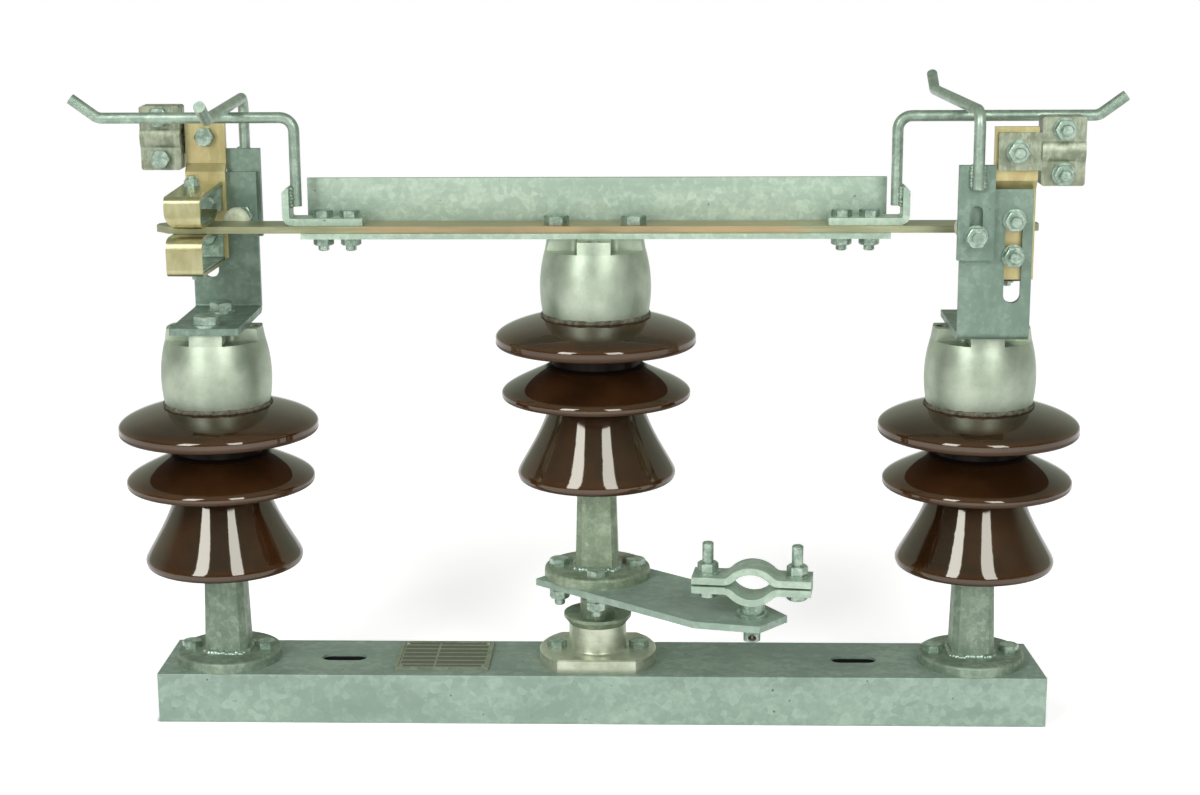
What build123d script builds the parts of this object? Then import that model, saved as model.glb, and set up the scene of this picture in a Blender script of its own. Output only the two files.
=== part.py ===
from build123d import *
import math
import os

os.makedirs("parts", exist_ok=True)

# One pole of a centre-rotating, double-break disconnector, closed. Millimetres.
# The origin is on the floor under the turning axis. X runs along the base channel,
# +Y to its far side and +Z up. Both ends are the same pieces, half a turn apart
# about Z, so each end piece is drawn at the left end and then turned round.

# Base channel, web up
channel_length = 656
channel_width = 78
channel_height = 38
channel_wall = 5
channel_corner = 4
channel_edge = 1
channel_skew = 7            # how much longer the near edge is at the rough right end
pole_margin = 47            # end insulator's axis from the end of the channel
base_slot_inset = 88        # middle of the slot from the end insulator's axis
base_slot_length = 34
base_slot_width = 14
shaft_hole_gap = 2
# Nameplate
plate_length = 71
plate_width = 60
plate_thickness = 1.2
plate_left = 152            # far end of the nameplate from the turning axis
plate_shift = 3             # towards the far side
plate_corner = 1.5
plate_rim = 2.5
plate_rim_height = 0.6

# Post insulators from the top down: aluminium cap, porcelain, iron pedestal
insulator_height = 257
cap_height = 57
cap_bore = 34
cap_depth = 38
cap_radius_low = 38.6
cap_radius = 40.5
cap_belly = 22              # widest level above the lower edge of the cap
cap_radius_top = 36.5
cap_taper = 1.5
cap_lug_width = 24
cap_lug_rise = 9
cap_pocket = 60
cap_pocket_corner = 5
cap_bolt_circle = 56
porcelain_height = 124.5      # lowest rim of the bell to the lower edge of the cap
head_shoulder = 7
bell_radius = 58.5
bell_wall = 11
bell_lip = 4
bell_rim_height = 6
bell_rim_round = 5
bell_swell = 4              # how far the curve above the rim starts straight up
bell_waist_radius = 41
bell_waist_rise = 33        # levels above the lowest rim of the bell
bell_neck_radius = 35
bell_neck_rise = 55.5
shed_rise_low = 64.5
shed_radius_low = 69.5
shed_crown_radius_low = 50
shed_crown_rise_low = 79
core_rise_low = 87.5
core_rise_high = 100.5
core_radius = 32.5
core_round = 3
shed_rise_top = 106
shed_radius_top = 73.5
shed_crown_radius_top = 58
shed_crown_rise_top = 119
shed_rim = 4
shed_rim_top = 6.5
shed_rim_round = 3
shed_swell = 5
seat_bevel = 2
post_into_bell = 36.5         # shoulder of the post above the lowest rim of the bell
flange_radius = 39.5
flange_thickness = 8
flange_round = 2.5
flange_bolt_circle = 57
post_foot = 32
post_top = 26
post_corner = 4.5
spigot_radius = 18
spigot_length = 20

# Bearing and rotor
housing_radius = 44
housing_flat = 33
housing_thickness = 10
housing_bevel = 1
housing_neck_radius = 21.5
housing_neck_height = 30
housing_fillet = 2
housing_bolt_spacing = 62
shaft_radius = 13
shaft_running_fit = 0.05
shaft_below = 24            # shaft below the top of the channel
shaft_collar_radius = 20
shaft_collar_height = 8
running_gap = 0.3
dust_radius = 25.3
dust_height = 7
dust_rim = 1.5
dust_edge = 2.5
dust_hollow = 2
dust_hub = 3
lever_rise = 61.5           # underside of the operating lever above the channel
lever_thickness = 5
lever_angle = -40
lever_half_width = 37.5
lever_back = 28
lever_shoulder_near = 124
lever_shoulder_far = 102
lever_tip = 166
lever_tip_half_width = 16
pivot_radius = 147
pivot_stud_radius = 6
pivot_stud_out = 13
pivot_clearance = 0.05
pivot_washer = 3
pivot_washer_radius = 11
pivot_collar_radius = 8.8
pivot_collar_round = 1.5

# Pipe clamp at the end of the lever
clamp_turn = -7
clamp_length = 84
clamp_width = 25
clamp_strip = 5
clamp_gap = 1.6
clamp_arc_rise = 8.2
clamp_bend = 6
pipe_radius = 17
clamp_bolt_spacing = 63
clamp_rise = 24.5           # middle of the split above the top of the lever
clamp_stud_rise = 28.5

# Live parts
beam_setback = 69           # end of the beam from the end insulator's axis
beam_leg = 40
beam_wall = 4
beam_front = 17             # near edge of the beam from the turning axis
blade_overhang = 38         # tip of the blade past the end insulator's axis
blade_width = 30
blade_thickness = 5
blade_point = 11
blade_tip = 8
end_bolt_margin = 24        # middle of the end bolts from the end of the beam
end_bolt_spacing = 20
end_bolt_out = 4
tapped_depth = 12
screw_clearance = 0.1
clip_back = 20              # back of the clip from the middle of its bolts
clip_width = 20
clip_wall = 5
clip_bend = 6.5
clip_corner = 3
clip_rise = 27
horn_radius = 4
horn_offset = 5             # moving horn's upright past the end of the beam
horn_foot_lift = 8
moving_horn_rise = 79.5
moving_horn_overhang = 78
horn_bend = 10
horn_tip_run = 19
horn_tip_rise = 14
fixed_tip_rise = 10.5

# End brackets and jaws, from the middle of the blade upward and from the end axis
bracket_width = 50
bracket_wall = 5
bracket_face = 57           # outer face of the upright plate
bracket_foot_front = 38
bracket_bend = 7
bracket_rise = 34
contact_offset = -12
contact_slot_width = 12
contact_slot_low = 46
contact_slot_high = 20
bar_width = 30
bar_wall = 5
bar_low = 30
bar_high = 77
joggle = 6
joggle_lap = 1
horn_plate_offset = 15
horn_plate_width = 25
horn_plate_wall = 5
horn_plate_low = 15
horn_plate_high = 51
horn_slot_length = 28
horn_slot_width = 9
stop_rise = 2
stop_gap = 0.4
stop_radius = 9.5
stop_length = 8
stop_round = 4
stop_socket = 5
fixed_horn_foot = 35
horn_crossing_gap = 1.2
fixed_horn_reach = 113
fixed_horn_drift = 10
finger_width = 26
finger_wall = 2.5
finger_reach = 36
finger_height_upper = 28.5    # from the middle of the blade
finger_height_lower = 33
finger_gap = 0.3
finger_tab = 6
finger_bend = 4
finger_front_bend = 8
finger_nose_round_upper = 16
finger_nose_round_lower = 6
finger_slope = 2
finger_flat = 10            # inner end of the flat that rides on the blade
finger_lead = 14
finger_lead_rise = 5
spring_wall = 1.5
spring_gap = 0.1
spring_inset = 1
spring_foot = 6
contact_bolt_rise = 12.5
terminal_rise = 60.5
pad_width = 26
pad_wall = 4
pad_lap = 1
clamp_block_gap = 1.5
terminal_width = 30
terminal_height = 47.5
terminal_wall = 8
terminal_split = 2
terminal_corner = 2
cable_radius = 7
terminal_bulge = 11.4
terminal_bolt_spacing = 31

# Fasteners
m8_radius = 4
m8_across = 13
m8_head = 5.3
m8_nut = 6.5
m8_hole = 4.5
m8_washer = 8
m10_radius = 5
m10_across = 16
m10_head = 6.4
m10_hole = 5.5
m10_washer = 10
washer_wall = 1.8
thread_out = 5
hexagon_face = 0.95         # turned circle on a hexagon's end, as a share of its flats
hexagon_corner_angle = 30
shank_bevel = 0.17          # bevel on a shank's end, as a share of its radius

near = 0.1                  # how close an edge or corner lies to the place it is picked by

# Places and levels that follow from the sizes above
pole_spacing = channel_length / 2 - pole_margin
pole = -pole_spacing
base_slot_spacing = 2 * (pole_spacing - base_slot_inset)
beam_length = 2 * (pole_spacing - beam_setback)
blade_half_length = pole_spacing + blade_overhang
end_bolt_reach = beam_length / 2 - end_bolt_margin
moving_horn_reach = beam_length / 2 + horn_offset
moving_horn_end = pole_spacing + moving_horn_overhang
cap_seat = insulator_height - cap_height
bell_rim = cap_seat - porcelain_height
post_height = bell_rim + post_into_bell
shed_low = bell_rim + shed_rise_low
shed_top = bell_rim + shed_rise_top
core_low = bell_rim + core_rise_low
core_high = bell_rim + core_rise_high
spigot_top = post_height + spigot_length
end_cap_top = channel_height + insulator_height
lever_low = channel_height + lever_rise
lever_top = lever_low + lever_thickness
rotor_cap_top = lever_top + insulator_height
blade_low = rotor_cap_top + beam_wall
blade_top = blade_low + blade_thickness
blade_middle = (blade_low + blade_top) / 2
contact_x = pole + contact_offset
bracket_back = bracket_face - bracket_wall
bracket_top = blade_middle + bracket_rise
moving_horn_z = blade_middle + moving_horn_rise
fixed_horn_z = moving_horn_z + 2 * horn_radius + horn_crossing_gap
terminal_z = blade_middle + terminal_rise
through = 2 * channel_width  # longer than any hole that is cut

stand = (Align.CENTER, Align.CENTER, Align.MIN)
hang = (Align.CENTER, Align.CENTER, Align.MAX)


def save(shape, name):
    shape.label = name
    export_step(shape, "parts/" + name + ".step")


def save_both_ends(shape, name):
    """One node that holds a left-end piece and its copy half a turn round."""
    with BuildPart() as pair:
        with PolarLocations(0, 2):
            add(shape)
    save(pair.part, name)


def save_each_end(shape, name):
    """Two nodes: a left-end piece and its copy half a turn round."""
    save(shape, "left_" + name)
    save(shape.rotate(Axis.Z, 180), "right_" + name)


def hexagon(across, thick):
    """A hexagon on z = 0 whose upper corners are turned off at a slant."""
    corner = across
    face = hexagon_face * across / 2
    slant = math.radians(hexagon_corner_angle)
    with BuildPart() as made:
        with BuildSketch():
            RegularPolygon(across / 2, 6, major_radius=False)
        extrude(amount=thick)
        with BuildSketch(Plane.XZ):
            with BuildLine():
                Polyline((0, 0), (corner, 0),
                         (corner, thick - (corner - face) * math.tan(slant)),
                         (face, thick), (0, thick), close=True)
            make_face()
        revolve(axis=Axis.Z, mode=Mode.INTERSECT)
    return made.part


def bolt(radius, across, head, length, nut=0, grip=0, washer=0, lower_washer=0):
    """A bolt whose head or washer stands on z = 0, with its shank and nut below."""
    with BuildPart() as made:
        with Locations((0, 0, washer_wall if washer else 0)):
            add(hexagon(across, head))
        if washer:
            Cylinder(washer, washer_wall, align=stand)
        with BuildSketch():
            Circle(radius)
        extrude(amount=-length)
        chamfer(made.edges().filter_by(GeomType.CIRCLE).sort_by(Axis.Z)[0],
                shank_bevel * radius)
        if lower_washer:
            with Locations((0, 0, -grip)):
                Cylinder(lower_washer, washer_wall, align=hang)
        if nut:
            with Locations((0, 0, -grip - (washer_wall if lower_washer else 0))):
                add(hexagon(across, nut).rotate(Axis.X, 180))
    return made.part


def m8_bolt(grip, out=thread_out):
    """An M8 bolt, nut and washer through a stack of pieces."""
    length = grip + washer_wall + m8_nut + out
    return bolt(m8_radius, m8_across, m8_head, length, m8_nut, grip, 0, m8_washer)


# Base channel: web on top, both flanges resting on the floor, right end sheared rough
with BuildPart() as base_channel:
    with BuildSketch(Plane.YZ.offset(-channel_length / 2 - channel_skew)):
        with Locations((0, channel_height / 2)):
            RectangleRounded(channel_width, channel_height, channel_edge)
        with Locations((0, (channel_height - channel_wall) / 2)):
            Rectangle(channel_width - 2 * channel_wall, channel_height - channel_wall,
                      mode=Mode.SUBTRACT)
    extrude(amount=channel_length + 2 * channel_skew)
    inner_half = channel_width / 2 - channel_wall
    inner_top = channel_height - channel_wall
    lengthwise = base_channel.edges().filter_by(Axis.X)
    inner_corners = [edge for edge in lengthwise
                     if abs(abs(edge.center().Y) - inner_half) < near
                     and abs(edge.center().Z - inner_top) < near]
    fillet(inner_corners, channel_corner)
    with BuildSketch():
        with BuildLine():
            near_end = channel_length / 2 + channel_skew
            far_end = channel_length / 2 - channel_skew / 2
            Polyline((-channel_length / 2, -channel_width), (near_end, -channel_width),
                     (far_end, channel_width), (-channel_length / 2, channel_width), close=True)
        make_face()
    extrude(amount=channel_height, mode=Mode.INTERSECT)
    with BuildSketch(Plane.XY.offset(channel_height)):
        with GridLocations(base_slot_spacing, 1, 2, 1):
            SlotOverall(base_slot_length, base_slot_width)
        with GridLocations(2 * pole_spacing, 1, 2, 1):
            with GridLocations(flange_bolt_circle, 1, 2, 1):
                Circle(m8_hole)
        with GridLocations(housing_bolt_spacing, 1, 2, 1):
            Circle(m8_hole)
        Circle(shaft_radius + shaft_hole_gap)
    extrude(amount=-2 * channel_wall, mode=Mode.SUBTRACT)
save(base_channel.part, "base_channel")

with BuildPart() as nameplate:
    plate_place = Location((-plate_left + plate_length / 2, plate_shift, channel_height))
    with BuildSketch(plate_place):
        RectangleRounded(plate_length, plate_width, plate_corner)
    extrude(amount=plate_thickness)
    with BuildSketch(plate_place):
        RectangleRounded(plate_length, plate_width, plate_corner)
        Rectangle(plate_length - 2 * plate_rim, plate_width - 2 * plate_rim, mode=Mode.SUBTRACT)
    extrude(amount=plate_thickness + plate_rim_height)
save(nameplate.part, "nameplate")


# One insulator stands on z = 0 on the Z axis; three copies are placed
def pedestal(bolt_count):
    """Round flange and a square post with bevelled corners that tapers to its spigot."""
    with BuildPart() as made:
        Cylinder(flange_radius, flange_thickness, align=stand)
        fillet(made.edges().sort_by(Axis.Z)[-1], flange_round)
        for level, width in ((flange_thickness / 2, post_foot), (post_height, post_top)):
            with BuildSketch(Plane.XY.offset(level)) as outline:
                Rectangle(width, width)
                chamfer(outline.vertices(), post_corner * width / post_foot)
        loft()
        with Locations((0, 0, post_height)):
            Cylinder(spigot_radius, spigot_length, align=stand)
        with PolarLocations(flange_bolt_circle / 2, bolt_count):
            Hole(m8_hole, depth=through)
    return made.part


with BuildPart() as porcelain:
    with BuildSketch(Plane.XZ) as section:
        bell_shoulder = (bell_radius, bell_rim + bell_rim_height)
        bell_waist = (bell_waist_radius, bell_rim + bell_waist_rise)
        bell_neck = (bell_neck_radius, bell_rim + bell_neck_rise)
        low_edge = (shed_radius_low, shed_low - shed_rim / 2)
        low_shoulder = (shed_radius_low, shed_low + shed_rim / 2)
        low_crown = (shed_crown_radius_low, bell_rim + shed_crown_rise_low)
        top_edge = (shed_radius_top, shed_top + shed_rim / 2 - shed_rim_top)
        top_shoulder = (shed_radius_top, shed_top + shed_rim / 2)
        top_crown = (shed_crown_radius_top, bell_rim + shed_crown_rise_top)
        head_foot = (cap_bore + head_shoulder, cap_seat - seat_bevel)
        with BuildLine():
            Polyline(head_foot, (cap_bore, cap_seat), (cap_bore, cap_seat + cap_depth),
                     (0, cap_seat + cap_depth), (0, spigot_top), (spigot_radius, spigot_top),
                     (spigot_radius, post_height),
                     (bell_radius - bell_wall, bell_rim + bell_lip / 2),
                     (bell_radius - bell_wall + bell_lip, bell_rim), (bell_radius, bell_rim),
                     bell_shoulder)
            Bezier(bell_shoulder, (bell_radius, bell_rim + bell_rim_height + bell_swell),
                   bell_waist, bell_neck)
            Polyline(bell_neck, low_edge, low_shoulder)
            Bezier(low_shoulder, (shed_radius_low, shed_low + shed_rim / 2 + shed_swell),
                   low_crown, (core_radius, core_low))
            Polyline((core_radius, core_low), (core_radius, core_high), top_edge, top_shoulder)
            Bezier(top_shoulder, (shed_radius_top, shed_top + shed_rim / 2 + shed_swell),
                   top_crown, head_foot)
        make_face()
        for place, rounding in (((bell_radius, bell_rim), bell_rim_round),
                                (low_edge, shed_rim_round), (top_edge, shed_rim_round),
                                ((core_radius, core_high), core_round)):
            fillet(section.vertices().sort_by_distance(place)[0], rounding)
    revolve(axis=Axis.Z)

with BuildPart() as cap:
    lug_low = insulator_height - cap_lug_rise
    with BuildSketch(Plane.XZ):
        with BuildLine():
            Polyline((cap_radius_top, lug_low), (cap_radius_top - cap_taper, insulator_height),
                     (0, insulator_height), (0, cap_seat + cap_depth),
                     (cap_bore, cap_seat + cap_depth), (cap_bore, cap_seat),
                     (cap_radius_low, cap_seat))
            ThreePointArc((cap_radius_low, cap_seat), (cap_radius, cap_seat + cap_belly),
                          (cap_radius_top, lug_low))
        make_face()
    revolve(axis=Axis.Z)
    with BuildSketch(Plane.XY.offset(lug_low)):
        with GridLocations(cap_lug_width + cap_pocket, cap_lug_width + cap_pocket, 2, 2):
            RectangleRounded(cap_pocket, cap_pocket, cap_pocket_corner)
    extrude(amount=cap_pocket, mode=Mode.SUBTRACT)
    with Locations((0, 0, insulator_height)):
        with PolarLocations(cap_bolt_circle / 2, 4):
            Hole(m10_radius, depth=tapped_depth + cap_taper)

end_pedestal = pedestal(2)
centre_pedestal = pedestal(4)
for side, x, z, iron in (("left", pole, channel_height, end_pedestal),
                         ("right", -pole, channel_height, end_pedestal),
                         ("centre", 0, lever_top, centre_pedestal)):
    place = Location((x, 0, z))
    save(iron.moved(place), side + "_pedestal")
    save(porcelain.part.moved(place), side + "_insulator")
    save(cap.part.moved(place), side + "_cap")

with BuildPart() as pedestal_bolts:
    with GridLocations(2 * pole_spacing, 1, 2, 1):
        with GridLocations(flange_bolt_circle, 1, 2, 1):
            with Locations((0, 0, channel_height + flange_thickness)):
                add(m8_bolt(flange_thickness + channel_wall))
save(pedestal_bolts.part, "pedestal_bolts")

# Bearing housing: a round flange with two flats, and the neck that the shaft turns in
with BuildPart() as bearing_housing:
    with BuildSketch(Plane.XY.offset(channel_height)):
        Circle(housing_radius)
        Rectangle(2 * housing_radius, 2 * housing_flat, mode=Mode.INTERSECT)
    extrude(amount=housing_thickness)
    chamfer(bearing_housing.edges().group_by(Axis.Z)[-1], housing_bevel)
    with BuildSketch(Plane.XY.offset(channel_height)):
        Circle(housing_neck_radius)
    extrude(amount=housing_neck_height)
    neck_circles = [edge for edge in bearing_housing.edges().filter_by(GeomType.CIRCLE)
                    if abs(edge.radius - housing_neck_radius) < near]
    fillet(ShapeList(neck_circles).sort_by(Axis.Z)[0], housing_fillet)
    with Locations((0, 0, channel_height)):
        with GridLocations(housing_bolt_spacing, 1, 2, 1):
            Hole(m8_hole, depth=through)
        Hole(shaft_radius + shaft_running_fit, depth=through)
save(bearing_housing.part, "bearing_housing")

with BuildPart() as bearing_bolts:
    with GridLocations(housing_bolt_spacing, 1, 2, 1):
        with Locations((0, 0, channel_height + housing_thickness)):
            add(m8_bolt(housing_thickness + channel_wall))
save(bearing_bolts.part, "bearing_bolts")

# Rotor: shaft with its retaining collar inside the channel, dust cover and lever
with BuildPart() as rotor_shaft:
    with Locations((0, 0, channel_height - shaft_below)):
        Cylinder(shaft_radius, shaft_below + lever_rise, align=stand)
    with Locations((0, 0, channel_height - channel_wall - running_gap)):
        Cylinder(shaft_collar_radius, shaft_collar_height, align=hang)
save(rotor_shaft.part, "rotor_shaft")

with BuildPart() as dust_cover:
    dust_low = channel_height + housing_neck_height + running_gap
    dust_top = dust_low + dust_height
    dust_floor = dust_top - dust_hollow
    with BuildSketch(Plane.XZ):
        with BuildLine():
            Polyline((shaft_radius, dust_low), (housing_neck_radius, dust_low),
                     (dust_radius, dust_top - dust_edge), (dust_radius, dust_top),
                     (dust_radius - dust_rim, dust_top), (shaft_radius + dust_hub, dust_floor),
                     (shaft_radius, dust_floor), close=True)
        make_face()
    revolve(axis=Axis.Z)
save(dust_cover.part, "dust_cover")

with BuildPart() as operating_lever:
    with BuildSketch(Plane.XY.offset(lever_low).rotated((0, 0, lever_angle))):
        with BuildLine():
            Polyline((-lever_back, -lever_half_width), (lever_shoulder_near, -lever_half_width),
                     (lever_tip, -lever_tip_half_width), (lever_tip, lever_tip_half_width),
                     (lever_shoulder_far, lever_half_width), (-lever_back, lever_half_width),
                     close=True)
        make_face()
        with Locations((pivot_radius, 0)):
            Circle(pivot_stud_radius + pivot_clearance, mode=Mode.SUBTRACT)
    extrude(amount=lever_thickness)
    with Locations((0, 0, lever_top)):
        with PolarLocations(flange_bolt_circle / 2, 4):
            Hole(m8_hole, depth=through)
save(operating_lever.part, "operating_lever")

# Each lever bolt has a nut and a lock nut
with BuildPart() as lever_bolts:
    lever_grip = flange_thickness + lever_thickness
    lever_bolt = bolt(m8_radius, m8_across, m8_head, lever_grip + 2 * m8_nut + thread_out,
                      m8_nut, lever_grip)
    with Locations((0, 0, lever_top + flange_thickness)):
        with PolarLocations(flange_bolt_circle / 2, 4):
            add(lever_bolt)
    with Locations((0, 0, lever_low - m8_nut)):
        with PolarLocations(flange_bolt_circle / 2, 4):
            add(hexagon(m8_across, m8_nut).rotate(Axis.X, 180))
save(lever_bolts.part, "lever_bolts")

# Pipe clamp: two waved strips, the lower one carried by the pivot stud
pivot = Vector(pivot_radius, 0, 0).rotate(Axis.Z, lever_angle)
split_z = lever_top + clamp_rise
clamp_place = Location((pivot.X, pivot.Y, split_z), (0, 0, clamp_turn))
strip_low = clamp_gap / 2
strip_high = strip_low + clamp_strip
hump_middle = strip_low + clamp_arc_rise - pipe_radius
hump_outer = pipe_radius + clamp_strip
arc_chord = math.sqrt(pipe_radius ** 2 - (strip_low - hump_middle) ** 2)
outer_chord = math.sqrt(hump_outer ** 2 - (strip_high - hump_middle) ** 2)

with BuildPart() as upper_strip:
    with BuildSketch(Plane.XZ.offset(-clamp_width / 2)) as section:
        with BuildLine():
            Polyline((arc_chord, strip_low), (clamp_length / 2, strip_low),
                     (clamp_length / 2, strip_high), (outer_chord, strip_high))
            ThreePointArc((outer_chord, strip_high), (0, strip_high + clamp_arc_rise),
                          (-outer_chord, strip_high))
            Polyline((-outer_chord, strip_high), (-clamp_length / 2, strip_high),
                     (-clamp_length / 2, strip_low), (-arc_chord, strip_low))
            ThreePointArc((-arc_chord, strip_low), (0, strip_low + clamp_arc_rise),
                          (arc_chord, strip_low))
        make_face()
        for chord, rounding in ((arc_chord, clamp_bend + clamp_strip),
                                (outer_chord, clamp_bend)):
            fillet([corner for corner in section.vertices()
                    if abs(abs(corner.X) - chord) < near], rounding)
    extrude(amount=clamp_width)
    with GridLocations(clamp_bolt_spacing, 1, 2, 1):
        Hole(m8_hole, depth=through)
save(upper_strip.part.moved(clamp_place), "clamp_upper_half")
with BuildPart() as lower_strip:
    add(mirror(upper_strip.part, Plane.XY, mode=Mode.PRIVATE))
save(lower_strip.part.moved(clamp_place), "clamp_lower_half")

with BuildPart() as clamp_bolts:
    strips = 2 * clamp_strip + clamp_gap
    clamp_bolt = bolt(m8_radius, m8_across, m8_head, strips / 2 + clamp_stud_rise, m8_nut, strips,
                      0, m8_washer).rotate(Axis.X, 180)
    with Locations((0, 0, -strips / 2)):
        with GridLocations(clamp_bolt_spacing, 1, 2, 1):
            add(clamp_bolt)
save(clamp_bolts.part.moved(clamp_place), "clamp_bolts")

with BuildPart() as clamp_pivot:
    dip_low = split_z - strip_high - clamp_arc_rise
    with Locations((pivot.X, pivot.Y, lever_top)):
        Cylinder(pivot_washer_radius, pivot_washer, align=stand)
        Cylinder(pivot_stud_radius, lever_thickness + pivot_stud_out, align=hang)
        Cylinder(pivot_collar_radius, dip_low - lever_top, align=stand)
    collar_top = clamp_pivot.edges().filter_by(GeomType.CIRCLE).sort_by(Axis.Z)[-1]
    fillet(collar_top, pivot_collar_round)
save(clamp_pivot.part, "clamp_pivot")

# Live beam: angle iron with the copper blade on its level leg
with BuildPart() as blade_beam:
    beam_back = beam_leg - beam_front
    with BuildSketch(Plane.YZ.offset(-beam_length / 2)):
        with BuildLine():
            Polyline((-beam_front, rotor_cap_top), (beam_back, rotor_cap_top),
                     (beam_back, rotor_cap_top + beam_leg),
                     (beam_back - beam_wall, rotor_cap_top + beam_leg),
                     (beam_back - beam_wall, blade_low), (-beam_front, blade_low), close=True)
        make_face()
    extrude(amount=beam_length)
    with Locations((0, 0, blade_low)):
        with GridLocations(cap_bolt_circle, 1, 2, 1):
            Hole(m10_hole, depth=3 * beam_wall)
        with GridLocations(2 * end_bolt_reach, 1, 2, 1):
            with GridLocations(end_bolt_spacing, 1, 2, 1):
                Hole(m8_hole, depth=3 * beam_wall)
save(blade_beam.part, "blade_beam")

with BuildPart() as contact_blade:
    with BuildSketch(Plane.XY.offset(blade_low)):
        shoulder_x = blade_half_length - blade_point
        with BuildLine():
            Polyline((blade_half_length, blade_tip / 2), (shoulder_x, blade_width / 2),
                     (-shoulder_x, blade_width / 2), (-blade_half_length, blade_tip / 2),
                     (-blade_half_length, -blade_tip / 2), (-shoulder_x, -blade_width / 2),
                     (shoulder_x, -blade_width / 2), (blade_half_length, -blade_tip / 2),
                     close=True)
        make_face()
        with GridLocations(cap_bolt_circle, 1, 2, 1):
            Circle(m10_hole, mode=Mode.SUBTRACT)
        with GridLocations(2 * end_bolt_reach, 1, 2, 1):
            with GridLocations(end_bolt_spacing, 1, 2, 1):
                Circle(m8_hole, mode=Mode.SUBTRACT)
    extrude(amount=blade_thickness)
save(contact_blade.part, "contact_blade")

# Clips that carry the moving horns, bolted down over the ends of the blade
clip_top = blade_top + clip_wall
with BuildPart() as clip:
    clip_inner = end_bolt_reach - clip_back
    clip_outer = moving_horn_reach + horn_radius + clip_wall
    with BuildSketch(Plane.XZ.offset(-clip_width / 2)) as section:
        with BuildLine():
            Polyline((-clip_inner, blade_top), (-clip_outer, blade_top),
                     (-clip_outer, blade_top + clip_rise),
                     (-clip_outer + clip_wall, blade_top + clip_rise),
                     (-clip_outer + clip_wall, clip_top), (-clip_inner, clip_top), close=True)
        make_face()
        fillet(section.vertices().sort_by_distance((-clip_outer, blade_top))[0], clip_bend)
        fillet(section.vertices().sort_by_distance((-clip_outer + clip_wall, clip_top))[0],
               clip_bend - clip_wall)
        chamfer(section.vertices().sort_by_distance((-clip_outer, blade_top + clip_rise))[0],
                clip_corner)
    extrude(amount=clip_width)
    with Locations((-end_bolt_reach, 0, clip_top)):
        with GridLocations(end_bolt_spacing, 1, 2, 1):
            Hole(m8_hole, depth=3 * clip_wall)
save_both_ends(clip.part, "horn_clips")

with BuildPart() as moving_horn:
    horn_foot = (-moving_horn_reach, 0, clip_top + horn_foot_lift)
    with BuildLine():
        FilletPolyline(horn_foot, (-moving_horn_reach, 0, moving_horn_z),
                       (-moving_horn_end, 0, moving_horn_z),
                       (-moving_horn_end - horn_tip_run, 0, moving_horn_z + horn_tip_rise),
                       radius=horn_bend)
    with BuildSketch(Plane(horn_foot, z_dir=(0, 0, 1))):
        Circle(horn_radius)
    sweep()
save_both_ends(moving_horn.part, "moving_horns")

with BuildPart() as beam_bolts:
    cap_screw = bolt(m10_radius - screw_clearance, m10_across, m10_head,
                     beam_wall + blade_thickness + tapped_depth)
    with Locations((0, 0, blade_top)):
        with GridLocations(cap_bolt_circle, 1, 2, 1):
            add(cap_screw)
    end_grip = clip_wall + blade_thickness + beam_wall
    end_bolt = bolt(m8_radius, m8_across, m8_head, end_grip + m8_nut + end_bolt_out, m8_nut,
                    end_grip)
    with Locations((0, 0, clip_top)):
        with GridLocations(2 * end_bolt_reach, 1, 2, 1):
            with GridLocations(end_bolt_spacing, 1, 2, 1):
                add(end_bolt)
save(beam_bolts.part, "beam_bolts")

# Left end bracket: foot on the cap and upright plate on the far side
foot_top = end_cap_top + bracket_wall
plate_x = pole + horn_plate_offset
stop_z = blade_middle + stop_rise
with BuildPart() as bracket:
    with BuildSketch(Plane.YZ.offset(pole - bracket_width / 2)) as section:
        with BuildLine():
            Polyline((-bracket_foot_front, end_cap_top), (bracket_face, end_cap_top),
                     (bracket_face, bracket_top), (bracket_back, bracket_top),
                     (bracket_back, foot_top), (-bracket_foot_front, foot_top), close=True)
        make_face()
        fillet(section.vertices().sort_by_distance((bracket_face, end_cap_top))[0],
               bracket_bend)
        fillet(section.vertices().sort_by_distance((bracket_back, foot_top))[0],
               bracket_bend - bracket_wall)
    extrude(amount=bracket_width)
    with Locations((pole, 0, foot_top)):
        with PolarLocations(cap_bolt_circle / 2, 2, start_angle=90):
            Hole(m10_hole, depth=3 * bracket_wall)
    with BuildSketch(Plane.XZ.offset(-bracket_face)):
        slot_middle = blade_middle + (contact_slot_high - contact_slot_low) / 2
        with Locations((contact_x, slot_middle)):
            SlotOverall(contact_slot_low + contact_slot_high, contact_slot_width, rotation=90)
        with Locations((plate_x, stop_z)):
            Circle(m8_hole)
    extrude(amount=2 * bracket_wall, both=True, mode=Mode.SUBTRACT)
save_each_end(bracket.part, "bracket")

with BuildPart() as bracket_bolt_pair:
    bracket_screw = bolt(m10_radius - screw_clearance, m10_across, m10_head,
                         bracket_wall + tapped_depth, 0, 0, m10_washer)
    with Locations((pole, 0, foot_top)):
        with PolarLocations(cap_bolt_circle / 2, 2, start_angle=90):
            add(bracket_screw)
save_both_ends(bracket_bolt_pair.part, "bracket_bolts")

# Slotted plate and fixed arcing horn on the outer face of the bracket
plate_low = blade_middle - horn_plate_low
plate_high = blade_middle + horn_plate_high
with BuildPart() as horn_plate:
    with BuildSketch(Plane.XZ.offset(-bracket_face)):
        with Locations((plate_x, (plate_low + plate_high) / 2)):
            Rectangle(horn_plate_width, plate_high - plate_low)
        with Locations((plate_x, stop_z + horn_slot_length / 4)):
            SlotOverall(horn_slot_length, horn_slot_width, rotation=90, mode=Mode.SUBTRACT)
    extrude(amount=-horn_plate_wall)
save_both_ends(horn_plate.part, "horn_plates")

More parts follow.
